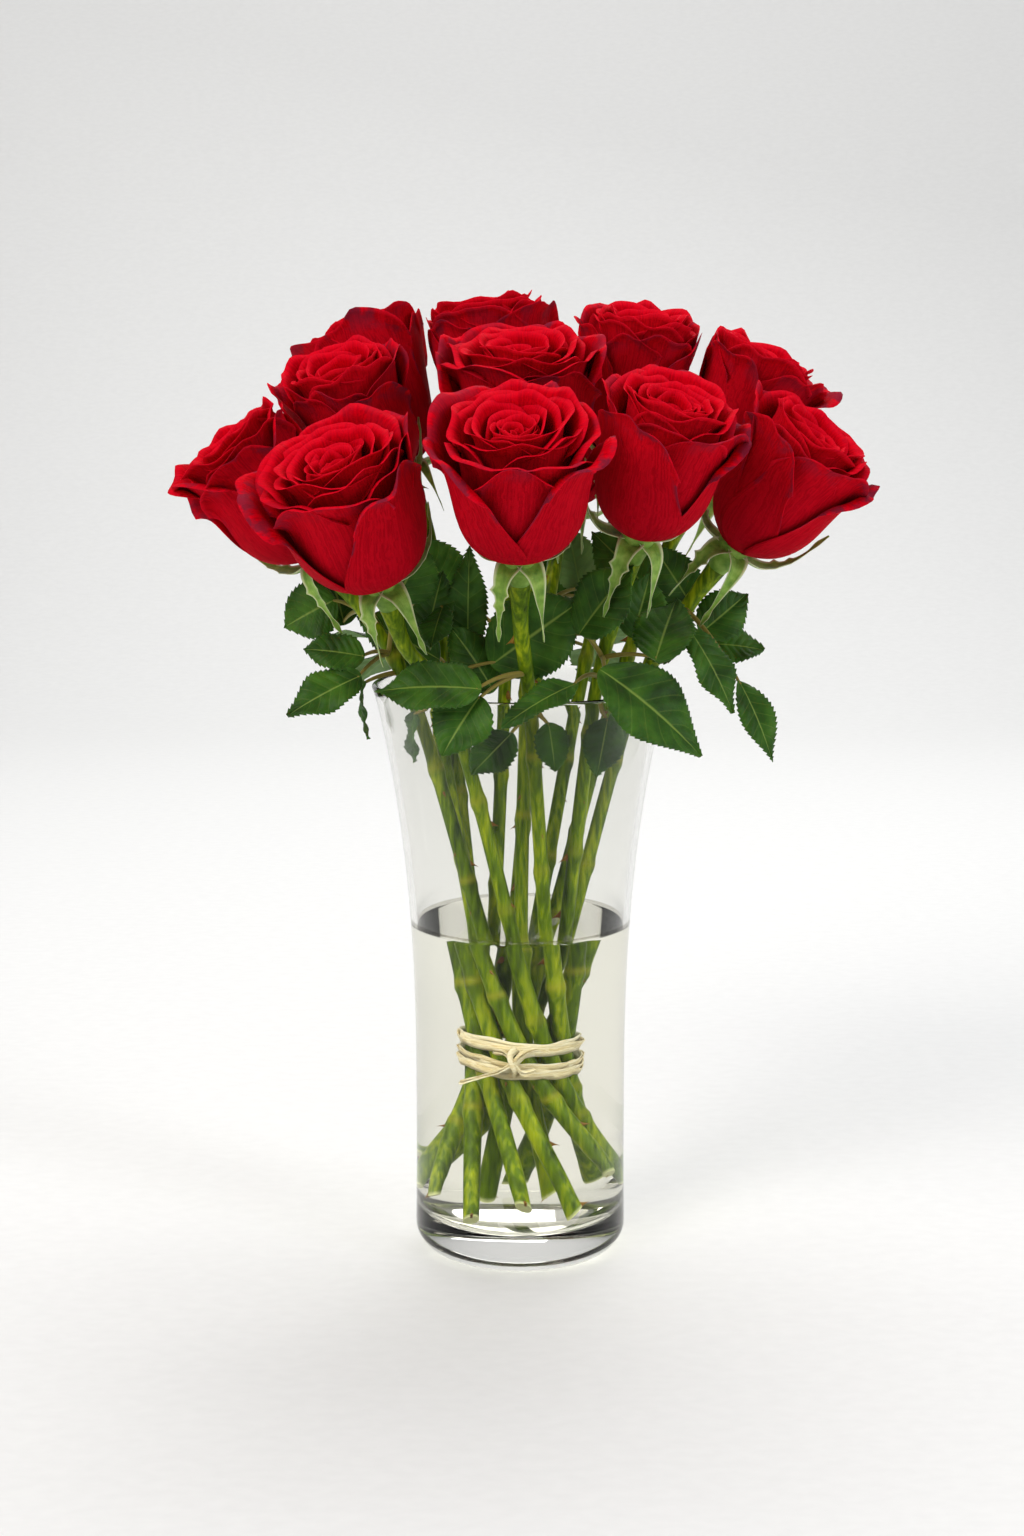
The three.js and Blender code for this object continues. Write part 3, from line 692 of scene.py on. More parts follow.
def petal(share, openness, rng):
    """One petal standing at azimuth 0. share runs from 0 at the heart of the bloom to 1 outside."""
    wall = by_age(share, 1.6, 7.4, 13.2, 19.4, 25.6)
    top = by_age(share, 0.86, 0.93, 0.96, 0.93, 0.85) + rng.normal(0, 0.014)
    close = by_age(share, 0.3, 0.2, 0.08, 0.0, -0.02) - 0.05 * openness
    half = math.radians(by_age(share, 170, 118, 90, 76, 74)) * rng.uniform(0.93, 1.07)
    lip = by_age(share, 1.0, 2.8, 4.2, 5.2, 6.4) * rng.uniform(0.8, 1.2)
    roll = math.radians(by_age(share, 6, 30, 46, 58, 72)) * openness * rng.uniform(0.8, 1.2)
    flare = math.radians(by_age(share, 0, 3, 6, 9, 13)) * openness * rng.uniform(0.6, 1.4)
    heights = np.linspace(0.02 + 0.05 * (1 - share), top, 40)
    radii = wall * np.interp(heights, *zip(*CUP)) * (1 - close * smooth(heights, 0.45, 1.0))
    line = np.stack([radii, heights * BLOOM_HEIGHT], 1)
    run = np.concatenate([[0], np.cumsum(np.linalg.norm(np.diff(line, axis=0), axis=1))])
    slope = np.unwrap(np.arctan2(np.gradient(line[:, 1], run), np.gradient(line[:, 0], run)))
    slope = np.convolve(np.pad(slope, 3, "edge"), np.ones(7) / 7, "valid")
    length = run[-1] + lip
    u = np.linspace(-1, 1, COLUMNS)[None, :]
    v = np.linspace(0, 1, ROWS)[:, None]
    tip = 0.035 * np.exp(-((u / 0.16) ** 2)) * share
    notch = 0.02 * np.sin(2 * math.pi * (u * rng.uniform(0.8, 1.8) + rng.uniform(0, 1))) * share
    reach = length * (1 - by_age(share, 0.08, 0.1, 0.12, 0.16, 0.24) * np.abs(u) ** 4 + tip + notch)
    s = v * reach
    turn = reach - lip * (1.15 + 0.3 * np.abs(u) ** 2)
    corner = 1 + by_age(share, 0.1, 0.2, 0.25) * np.abs(u) ** 2 - 0.55 * smooth(np.abs(u), 0.82, 1)
    curl = roll * corner * smooth(s, turn, reach + 0.1 * lip)
    curl = curl + flare * smooth(s, 0.5 * length, 0.95 * length)
    wave = rng.uniform(0.05, 0.2) * np.sin(math.pi * (u * rng.uniform(1.2, 2.6) + rng.uniform(0, 2)))
    heading = np.interp(s, run, slope) - curl - wave * smooth(v, 0.65, 1.0)
    step = np.diff(s, axis=0)
    middle = (heading[1:] + heading[:-1]) / 2
    zero = np.zeros((1, COLUMNS))
    rho = line[0, 0] + np.concatenate([zero, np.cumsum(step * np.cos(middle), axis=0)])
    z = line[0, 1] + np.concatenate([zero, np.cumsum(step * np.sin(middle), axis=0)])
    hold = smooth(v, 0.2, 0.8)
    rho = rho * (1 + by_age(share, 0.42, 0.12, 0.06, 0.05, 0.045) * u * hold)
    rho = rho + by_age(share, 0.05, 0.5, 1.3) * smooth(np.abs(u), 0.78, 1) * hold
    angle = u * half * (0.72 + 0.28 * smooth(v, 0, 0.22)) * (1 - 0.4 * share**3 * smooth(v, 0.3, 0.95))
    grid = np.stack([rho * np.cos(angle), rho * np.sin(angle), z + 0 * u], 2)
    normal = np.cross(np.gradient(grid, axis=1), np.gradient(grid, axis=0))
    normal /= np.linalg.norm(normal, axis=2)[:, :, None] + 1e-9
    thickness = (0.5 - 0.3 * np.maximum(smooth(v, 0.6, 1), smooth(np.abs(u), 0.7, 1)))[:, :, None]
    edge = np.maximum(v + 0 * u, smooth(v, 0.2, 0.7) * np.abs(u))
    return sheet(grid, grid - normal * thickness, along=v + 0 * u, across=u + 0 * v, edge=edge, age=share)


# %% [markdown]
# Three sets of petals, from a bud that is still cupped to one that is wide open, are enough for a dozen
# roses, because the tree below turns, tilts and sizes every petal of every rose a little differently.

# %% Three sets of petals


def petal_set(label, openness, seed):
    rng = np.random.default_rng(seed)
    group = bpy.data.collections.new(label)
    scene.collection.children.link(group)
    for k in range(PETALS):
        mesh = mesh_of(f"{label}_{k:02d}", [petal(k / (PETALS - 1), openness, rng)])
        group.objects.link(bpy.data.objects.new(f"{label}_{k:02d}", mesh))
    return group


petal_sets = {
    "cupped": petal_set("cupped", 0.7, 3),
    "half_open": petal_set("half_open", 0.95, 5),
    "open": petal_set("open", 1.15, 9),
}

# %% [markdown]
# The spiral itself is a Geometry Nodes tree: as many points as petals, the right petal on each point, and
# a turn that grows by the same angle every time, with a small seeded play in turn, tilt and size.

# %% The tree that sets petals on a spiral


def bloom_tree():
    tree, given = start_tree("petals on a spiral", {
        "Petals": "NodeSocketCollection",
        "Count": "NodeSocketInt",
        "Turn": "NodeSocketFloat",
        "Turn Play": "NodeSocketFloat",
        "Tilt Play": "NodeSocketFloat",
        "Size Play": "NodeSocketFloat",
        "Seed": "NodeSocketInt",
        "Material": "NodeSocketMaterial",
    })
    number = add(tree, "GeometryNodeInputIndex")
    points = add(tree, "GeometryNodePoints", {"Count": given.outputs["Count"]})
    source = add(tree, "GeometryNodeCollectionInfo", {
        "Collection": given.outputs["Petals"], "Separate Children": True, "Reset Children": True,
    })
    play = add(tree, "FunctionNodeRandomValue", {
        0: (-1, -1, -1), 1: (1, 1, 1), "ID": number, "Seed": given.outputs["Seed"],
    }, data_type="FLOAT_VECTOR")
    parts = add(tree, "ShaderNodeSeparateXYZ", {0: play})
    tilt_x = add(tree, "ShaderNodeMath", {0: parts.outputs[0], 1: given.outputs["Tilt Play"]},
                 operation="MULTIPLY")
    tilt_y = add(tree, "ShaderNodeMath", {0: parts.outputs[1], 1: given.outputs["Tilt Play"]},
                 operation="MULTIPLY")
    spiral = add(tree, "ShaderNodeMath", {0: number, 1: given.outputs["Turn"]}, operation="MULTIPLY")
    turn = add(tree, "ShaderNodeMath",
               {0: parts.outputs[2], 1: given.outputs["Turn Play"], 2: spiral}, operation="MULTIPLY_ADD")
    euler = add(tree, "ShaderNodeCombineXYZ", {0: tilt_x, 1: tilt_y, 2: turn})
    rotation = add(tree, "FunctionNodeEulerToRotation", {"Euler": euler})
    size = add(tree, "ShaderNodeMath",
               {0: parts.outputs[1], 1: given.outputs["Size Play"], 2: 1.0}, operation="MULTIPLY_ADD")
    placed = add(tree, "GeometryNodeInstanceOnPoints", {
        "Points": points, "Instance": source, "Pick Instance": True, "Instance Index": number,
        "Rotation": rotation, "Scale": size,
    })
    end_tree(tree, placed, given)
    return tree


grow_bloom = bloom_tree()

# %% [markdown]
# Red rose petals are velvety: tiny domed cells scatter light, so they have almost no gloss and a soft sheen
# where they turn away. Each petal is darker towards the claw, a painted shade for the depth of the bloom,
# and lighter towards its thin rim, which carries a painted highlight. Its outside is mixed towards a
# brighter red, partly its own cooler tone and partly painted light, and fine veins run from the claw and
# fan out.

# %% The petals' finish


def petal_finish():
    material, tree, shader = start_finish(
        "rose_petal", Roughness=0.7, IOR=1.4, Subsurface_Weight=0.1, Subsurface_Scale=0.0015,
        Subsurface_Radius=(1.0, 0.1, 0.08), Specular_IOR_Level=0.02, Specular_Tint=linear("#FF9090"),
    )
    along, across, edge, age, side = (
        add(tree, "ShaderNodeAttribute", attribute_name=kept)
        for kept in ("along", "across", "edge", "age", "side")
    )
    place = add(tree, "ShaderNodeTexCoord")
    # Darker towards the claw, a painted shade for the depth of the bloom, and brighter towards the rim.
    body = add(tree, "ShaderNodeValToRGB", {"Fac": along.outputs["Fac"]}, stops=[
        (0.05, linear("#3E0005")), (0.45, linear("#8E000E")),
        (0.85, linear("#BC0012")), (1.0, linear("#D00016")),
    ])
    # The outside of a petal is mixed towards a brighter, slightly cooler red: partly its own tone, partly
    # painted light for the front lamp on the cups.
    outside = add(tree, "ShaderNodeMath", {0: 1.0, 1: side.outputs["Fac"]}, operation="SUBTRACT")
    outside_lit_share = add(tree, "ShaderNodeMath", {0: outside, 1: 0.6}, operation="MULTIPLY")
    outside_lit_red = add(tree, "ShaderNodeMix", {0: outside_lit_share, 6: body.outputs["Color"], 7: linear("#C20E20")},
                 data_type="RGBA")
    # Veins: bands across the petal, about 1.2 mm apart, bent by a coarse noise.
    fan = add(tree, "ShaderNodeCombineXYZ", {0: across.outputs["Fac"], 1: 0.0, 2: 0.0})
    bend = add(tree, "ShaderNodeTexNoise",
               {"Vector": place.outputs["Object"], "Scale": 90.0, "Detail": 3.0})
    bent = add(tree, "ShaderNodeMath", {0: bend.outputs["Fac"], 1: 0.16}, operation="MULTIPLY")
    shifted = add(tree, "ShaderNodeVectorMath", {0: fan, 1: bent}, operation="ADD")
    veins = add(tree, "ShaderNodeTexNoise", {"Vector": shifted, "Scale": 34.0, "Detail": 2.0})
    lines = add(tree, "ShaderNodeMapRange", {
        "Value": veins.outputs["Fac"], "From Min": 0.42, "From Max": 0.62, "To Min": 0.0, "To Max": 0.45,
    })
    veined = add(tree, "ShaderNodeMix", {0: lines, 6: outside_lit_red.outputs[2], 7: linear("#78000C")},
                 data_type="RGBA")
    # A painted highlight lightens the rim and the side edges, and on the oldest petals the rim dries to
    # purple brown patches about 9 mm long.
    rim = add(tree, "ShaderNodeMapRange", {
        "Value": edge.outputs["Fac"], "From Min": 0.95, "From Max": 1.0, "To Min": 0.0, "To Max": 0.5,
    })
    rim_highlight = add(tree, "ShaderNodeMix", {0: rim, 6: veined.outputs[2], 7: linear("#E0142C")},
                 data_type="RGBA")
    spots = add(tree, "ShaderNodeTexNoise",
                {"Vector": place.outputs["Object"], "Scale": 110.0, "Detail": 4.0})
    old = add(tree, "ShaderNodeMapRange", {"Value": age.outputs["Fac"], "From Min": 0.7, "From Max": 1.0})
    near_rim = add(tree, "ShaderNodeMapRange",
                   {"Value": edge.outputs["Fac"], "From Min": 0.82, "From Max": 0.97})
    patchy = add(tree, "ShaderNodeMapRange",
                 {"Value": spots.outputs["Fac"], "From Min": 0.47, "From Max": 0.56})
    dry = add(tree, "ShaderNodeMath", {0: old, 1: near_rim}, operation="MULTIPLY")
    dried = add(tree, "ShaderNodeMath", {0: dry, 1: patchy}, operation="MULTIPLY")
    weathered = add(tree, "ShaderNodeMath", {0: dried, 1: 0.8}, operation="MULTIPLY")
    colour = add(tree, "ShaderNodeMix", {0: weathered, 6: rim_highlight.outputs[2], 7: linear("#5A2034")},
                 data_type="RGBA")
    tree.links.new(colour.outputs[2], shader.inputs["Base Color"])
    # Velvet: real cells are some 0.03 mm wide, and are drawn about 0.4 mm wide so that they show.
    cells = add(tree, "ShaderNodeTexNoise",
                {"Vector": place.outputs["Object"], "Scale": 2600.0, "Detail": 1.0})
    relief = add(tree, "ShaderNodeMath", {0: veins.outputs["Fac"], 1: 0.6, 2: cells.outputs["Fac"]},
                 operation="MULTIPLY_ADD")
    bump = add(tree, "ShaderNodeBump", {"Strength": 0.25, "Distance": 0.0005, "Height": relief})
    tree.links.new(bump.outputs[0], shader.inputs["Normal"])
    return material


petal_red = petal_finish()

# %% [markdown]
# Blooms that touch press each other flat. Each point beyond a bloom's free room is drawn in, ever more
# firmly as it nears the plane midway to the neighbour, so the petals crowd there but never cross it.

# %% Pressing neighbours
NEAR, PRESS_GAP, FREE_SHARE = 1.3, 0.4, 0.62


def neighbours(rose):
    """The planes that press on a rose: (direction, distance from its middle), in millimetres."""
    own = stand_of(rose)[2]
    found = []
    for other in ROSES.values():
        if other is rose:
            continue
        gap = stand_of(other)[2] - own
        distance = np.linalg.norm(gap)
        both = rose.spread + other.spread
        if distance < NEAR * both:
            found.append((gap / distance, distance * rose.spread / both - PRESS_GAP))
    return found


def pressed(points, rose):
    own = stand_of(rose)[2]
    for direction, room in neighbours(rose):
        reach = (points - own) @ direction
        free = FREE_SHARE * room
        beyond = np.clip(reach - free, 0, None)
        held = free + (room - free) * (1 - np.exp(-beyond / (room - free)))
        points = points + np.outer(np.where(reach > free, held - reach, 0), direction)
    return points


def raised(points, rose, wide=1.0):
    """Stands upright points, made round the origin, where a rose's bloom stands."""
    axis, base, _ = stand_of(rose)
    turn = np.array(Vector((0, 0, 1)).rotation_difference(Vector(axis)).to_matrix())
    return (points * [wide, wide, 1]) @ turn.T + base


# %% Twelve blooms
OPEN_AS = {
    "front": "open", "front_right": "half_open", "right": "half_open", "back_right": "half_open",
    "back": "half_open", "back_left": "half_open", "left_back": "open", "middle_left": "cupped",
    "left": "open", "front_left": "open", "middle": "open", "middle_back": "half_open",
}
GOLDEN_ANGLE = 137.5
# Where the guard petals of the front blooms face, and how much fuller those at the back have opened.
FACING = {"front": -49, "front_left": -75, "front_right": -20, "left": 10, "right": -35}
FULLER = {"back_left": 1.12, "back_right": 1.08, "left_back": 1.08, "middle_back": 1.1, "middle": 1.04}
for number, (name, rose) in enumerate(ROSES.items()):
    spin = Matrix.Rotation(math.radians(FACING.get(name, 40 * number)), 3, "Z")
    mesh = grown("bloom_" + name, grow_bloom, bpy.data.meshes.new("seed"), {
        "Petals": petal_sets[OPEN_AS[name]], "Count": PETALS, "Turn": math.radians(GOLDEN_ANGLE),
        "Turn Play": 0.16, "Tilt Play": 0.025, "Size Play": 0.03, "Seed": 100 + number,
        "Material": petal_red,
    })
    full = FULLER.get(name, 1)
    turned_by = np.array(spin).T * [full, full, (1 + full) / 2]
    moved(mesh, lambda points: pressed(raised(points @ turned_by, rose, rose.spread / FULL_SPREAD), rose))
    piece("bloom_" + name, mesh, None, "petal", "bloom_" + name)
print("blooms:", len(ROSES), "of", PETALS, "petals and", len(mesh.polygons), "faces")
for group in petal_sets.values():
    for source in list(group.objects):
        bpy.data.objects.remove(source)
    bpy.data.collections.remove(group)

# %% [markdown]
# ## Hips and sepals
# Under each bloom is the swelling that would become its hip, and five green sepals that once closed the
# bud. On an open rose most have turned down and hang with their long tips twisted, and some still hug the
# cup. Three of the five carry small side lobes, which is how every rose's sepals are made.

# %% One sepal
SEPAL_ROUTES = {
    "hugging": ([4, 15, 24, 30], [-2, -1, 7, 24]),
    "spread": ([4, 12, 24, 34], [-2.5, -3, -3, 2]),
    "hanging": ([4, 10, 13, 15], [-1, -4, -15, -30]),
}
SEPAL_ORDER = ["hanging", "hanging", "hugging", "spread", "hugging"]
FIRST_SEPAL, CALYX_TURNS = 234, [0, 12, -12]
LOBED = (0, 2, 4)


def sepal(kind, azimuth, lobed, rng):
    out, rise = SEPAL_ROUTES[kind]
    path = spline([polar(azimuth, r, z) for r, z in zip(out, rise)], 12)
    share = np.linspace(0, 1, len(path))
    path[:, 2] += 1.2 * np.sin(np.linspace(0, 3.5, len(path)) + rng.uniform(0, 6)) * share
    t = share[:, None]
    u = np.linspace(-1, 1, 9)[None, :]
    along = np.gradient(path, axis=0)
    along /= np.linalg.norm(along, axis=1)[:, None]
    face = polar(azimuth, 1, 0) if kind == "hanging" else np.array([0.0, 0, 1])
    side = np.cross(along, face)
    side /= np.linalg.norm(side, axis=1)[:, None]
    spin = rng.uniform(-2.2, 2.2) * np.clip(t - 0.6, 0, None) ** 1.5 * 2.8
    up = np.cross(side, along)
    side, up = side * np.cos(spin) + up * np.sin(spin), up * np.cos(spin) - side * np.sin(spin)
    half = 0.4 + 6.0 * np.clip(1 - t / 0.84, 0, 1) * np.minimum(1, 0.75 + 1.5 * t)
    half = half + 0.9 * np.exp(-(((t - 0.9) / 0.06) ** 2))
    if lobed:
        half = half + 1.7 * np.exp(-(((t - 0.5) / 0.03) ** 2)) + 1.2 * np.exp(-(((t - 0.66) / 0.025) ** 2))
    cup = 0.35 * half * u**2
    grid = path[:, None] + side[:, None] * (u * half)[:, :, None] + up[:, None] * cup[:, :, None]
    skin = (0.35 * (1 - 0.6 * u**2) * (1 - 0.5 * t))[:, :, None] * up[:, None]
    return sheet(grid + skin, grid - skin, along=t + 0 * u, across=u + 0 * t, sepal=1.0)


# %% The hip
HIP = [
    (0, -HIP_LENGTH - 1.5), (3.6, -HIP_LENGTH - 1.5), (4.3, -HIP_LENGTH), (4.7, -9.2), (5.2, -7.2),
    (5.8, -5), (6.3, -3), (6.6, -1.2), (7.2, 0.4), (7.2, 1.6), (5.6, 2.8), (0, 3.4),
]


def hip():
    points, faces, kept = turned(np.array(HIP, float), 28, sepal=0.0)
    faces = faces.copy()
    return points, faces, {**kept, "along": np.zeros(len(points)), "across": np.zeros(len(points))}


# %% [markdown]
# Sepals and hips are the same soft green, greyer than the stem, with pale downy margins on the sepals.

# %% The sepals' finish


def sepal_finish():
    material, tree, shader = start_finish("rose_sepal", Roughness=0.6, IOR=1.42, Sheen_Weight=0.15,
                                          Subsurface_Weight=0.1, Subsurface_Scale=0.002)
    across = add(tree, "ShaderNodeAttribute", attribute_name="across")
    is_sepal = add(tree, "ShaderNodeAttribute", attribute_name="sepal")
    place = add(tree, "ShaderNodeTexCoord")
    # Soft mottling about 4 mm across.
    mottle = add(tree, "ShaderNodeTexNoise",
                 {"Vector": place.outputs["Object"], "Scale": 250.0, "Detail": 4.0})
    green = add(tree, "ShaderNodeValToRGB", {"Fac": mottle.outputs["Fac"]}, stops=[
        (0.3, linear("#55801C")), (0.5, linear("#769C32")), (0.72, linear("#94B44E")),
    ])
    from_middle = add(tree, "ShaderNodeMath", {0: across.outputs["Fac"]}, operation="ABSOLUTE")
    margin = add(tree, "ShaderNodeMapRange", {"Value": from_middle, "From Min": 0.7, "From Max": 0.92,
                                             "To Min": 0.0, "To Max": 0.9})
    own = add(tree, "ShaderNodeMath", {0: margin, 1: is_sepal.outputs["Fac"]}, operation="MULTIPLY")
    colour = add(tree, "ShaderNodeMix", {0: own, 6: green.outputs["Color"], 7: linear("#CBD4A2")},
                 data_type="RGBA")
    tree.links.new(colour.outputs[2], shader.inputs["Base Color"])
    # Ribs along the sepal, about 1 mm apart.
    lengthwise = add(tree, "ShaderNodeCombineXYZ", {0: across.outputs["Fac"]})
    ribs = add(tree, "ShaderNodeTexNoise", {"Vector": lengthwise, "Scale": 6.0, "Detail": 1.0})
    bump = add(tree, "ShaderNodeBump", {"Strength": 0.5, "Distance": 0.0008, "Height": ribs.outputs["Fac"]})
    tree.links.new(bump.outputs[0], shader.inputs["Normal"])
    return material


sepal_green = sepal_finish()

# %% Twelve calyxes
for number, (name, rose) in enumerate(ROSES.items()):
    rng = np.random.default_rng(70 + number)
    patches = [hip()]
    for i, kind in enumerate(SEPAL_ORDER):
        azimuth = FIRST_SEPAL + 360 / len(SEPAL_ORDER) * i + CALYX_TURNS[number % 3]
        patches.append(sepal(kind, azimuth, i in LOBED, rng))
    placed = []
    for i, (points, faces, kept) in enumerate(patches):
        stood = raised(points, rose)
        placed.append((stood if i == 0 else pressed(stood, rose), faces, kept))
    calyx = piece("calyx_" + name, mesh_of("calyx_" + name, placed), sepal_green, "sepal", "calyx_" + name)
print("calyxes:", len(ROSES), "of", len(calyx.data.polygons), "faces")

# %% [markdown]
# ## Leaves
# Rose leaves are made of leaflets on a thin brownish stalk. A leaflet's edge is a fine saw whose teeth
# point to the tip, its side veins run out in pairs, and the blade stands up in low pillows between them.
# Each leaflet is given by its base and tip, as azimuth, reach beyond the mouth and height over the mouth,
# then its width, and the azimuth and rise of the way its upper face looks.

# %% The leaves
LEAVES = {
    "over_rim_left": ("front", 9, [
        ((257, 6, 6), (226, 20, 4), 25, (262, 50)),
        ((256, 4, 3), (247, 16, -19), 24, (255, 20))]),
    "behind_front": ("front_left", 5, [
        ((249, -28, 11), (311, -24, 37), 33, (278, 15)),
        ((250, -30, 0), (224, -22, 26), 22, (285, 35))]),
    "over_rim_front": ("front_right", 5, [
        ((291, -1, 7), (264, 11, -8), 14, (275, 60))]),
    "over_rim_right": ("front_right", 13, [
        ((301, -2, 12), (322, 28, -22), 34, (300, 35)),
        ((302, -18, 24), (314, 2, 52), 24, (250, 20)),
        ((322, 6, 14), (344, 4, 36), 24, (255, 20))]),
    "right_drooping": ("right", 30, [
        ((338, 12, 24), (338, 30, -8), 17, (300, 20)),
        ((344, 30, 4), (342, 45, -28), 14, (295, 20))]),
    "right_spread": ("back_right", 14, [
        ((2, 13, 20), (5, 33, 36), 20, (290, 20)),
        ((6, 18, 15), (6, 41, 12), 16, (290, 35)),
        ((28, 0, 36), (48, -16, 60), 22, (270, 15))]),
    "left_pair": ("left", 14, [
        ((204, 7, 14), (198, 30, 17), 16, (270, 35)),
        ((207, 10, 7), (204, 40, -8), 18, (265, 35)),
        ((202, -6, 34), (216, -14, 60), 24, (290, 10))]),
    "left_high": ("left", 30, [
        ((176, 15, 34), (176, 37, 22), 24, (260, 15)),
        ((168, 14, 22), (166, 24, 52), 24, (290, 10))]),
    "left_hanging": ("left", 5, [
        ((189, 4, 2), (191, 2, -22), 9, (190, 5))]),
    "tall_middle": ("middle", 12, [
        ((216, -35, 12), (226, -32, 58), 15, (265, 5)),
        ((150, -30, 32), (166, -16, 60), 24, (270, 10))]),
    "inner_left": ("middle_left", 30, [
        ((205, -20, 22), (214, -24, 48), 16, (262, 10)),
        ((216, -23, 34), (226, -10, 18), 12, (250, 10))]),
    "inner_right": ("right", 12, [
        ((342, -14, 20), (350, -8, 46), 20, (280, 10)),
        ((350, -10, 14), (344, 12, 18), 18, (295, 40))]),
    "in_mouth_front": ("front", -8, [
        ((284, -17, -10), (288, -18, -30), 13, (280, 10)),
        ((266, -10, -13), (242, -20, -32), 16, (285, 25))]),
    "in_mouth_right": ("front_right", -6, [
        ((322, -14, -5), (330, -14, -22), 14, (320, 10)),
        ((318, -15, -10), (314, -18, -34), 15, (270, 20))]),
    "in_mouth_left": ("front_left", -8, [
        ((206, -14, -9), (204, -15, -30), 8, (215, 5))]),
    "back_spread": ("back", 12, [
        ((56, 2, 13), (44, 34, 8), 26, (60, 55)),
        ((60, 2, 8), (66, 30, -16), 26, (66, 45))]),
    "back_over_rim": ("back_left", 9, [
        ((98, 2, 8), (88, 28, -10), 28, (90, 45)),
        ((110, 2, 9), (116, 32, 8), 26, (115, 60))]),
    "left_back_spread": ("left_back", 12, [
        ((138, 4, 10), (142, 34, -12), 26, (140, 45)),
        ((150, 2, 14), (158, 32, 14), 22, (160, 60))]),
    "left_inner": ("left_back", 5, [
        ((162, -26, 8), (170, 8, 26), 22, (290, 15))]),
    "right_high": ("right", 26, [
        ((14, 14, 28), (10, -6, 56), 20, (265, 25))]),
    "back_high": ("back", 30, [
        ((66, 4, 32), (74, 14, 60), 20, (80, 15)),
        ((66, 14, 26), (84, 20, 58), 26, (245, 35))]),
}


def leaf_point(place):
    azimuth, beyond, up = place
    return polar(azimuth, MOUTH_RADIUS + beyond, VASE_HEIGHT + up)


def bent_line(start, end, lift, steps):
    """A line from start to end whose middle is pushed by lift."""
    w = np.linspace(0, 1, steps)[:, None]
    return (1 - w) ** 2 * start + 2 * w * (1 - w) * ((start + end) / 2 + lift) + w**2 * end


# %% One leaflet
TOOTH, TOOTH_DEPTH = 2.1, 1.1
VEIN_PAIRS = 7.5


def leaflet(base, tip, width, face, rng):
    start, end = leaf_point(base), leaf_point(tip)
    length = np.linalg.norm(end - start)
    look = leaning(90 - face[1], face[0])
    rows = int(length * 3.4)
    path = bent_line(start, end, 0.1 * length * look, rows)
    t = np.linspace(0, 1, rows)[:, None]
    u = np.linspace(-1, 1, 17)[None, :]
    along = np.gradient(path, axis=0)
    along /= np.linalg.norm(along, axis=1)[:, None]
    side = np.cross(along, look)
    side /= np.linalg.norm(side, axis=1)[:, None]
    up = np.cross(side, along)
    outline = 0.35 + (width / 2 - 0.35) * np.sin(np.pi * t**0.84) ** (0.66 + 0.6 * t**2)
    teeth = (t * length / TOOTH) % 1.0
    saw = (1 - teeth) * smooth(t, 0.04, 0.2) * (1 - smooth(t, 0.94, 1.0))
    half = outline * (1 + 0.0 * u) + TOOTH_DEPTH * saw * smooth(np.abs(u), 0.8, 1.0)
    vein = (t - 0.34 * np.abs(u) * width / length) * VEIN_PAIRS
    pillow = 0.7 * np.abs(np.sin(np.pi * vein)) ** 0.7 * np.sin(np.pi * np.abs(u)) ** 0.6
    droop = -0.12 * half * u**2 * rng.uniform(0.4, 1.6)
    fold = 0.24 * half * np.abs(u) ** 1.2
    ripple = 1.3 * np.sin(2 * np.pi * (t * rng.uniform(1.2, 2.2) + rng.uniform(0, 1))) * u * np.abs(u)
    lift = fold + droop + ripple + pillow * smooth(t, 0, 0.12)
    grid = path[:, None] + side[:, None] * (u * half)[:, :, None] + up[:, None] * lift[:, :, None]
    skin = (0.17 * (1 - 0.5 * u**2) + 0.25 * np.exp(-((u / 0.07) ** 2)) * (1 - t))[:, :, None] * up[:, None]
    under = grid - skin - 0.12 * up[:, None]
    return sheet(grid, under, along=t + 0 * u, across=u + 0 * t, vein=vein + 0 * u, leaflet=1.0)


# %% [markdown]
# The upper side is dark and waxy, with paler yellow-green veins, the lower side is lighter and matt, and
# the stalks are a yellowish brown.

# %% The leaves' finish


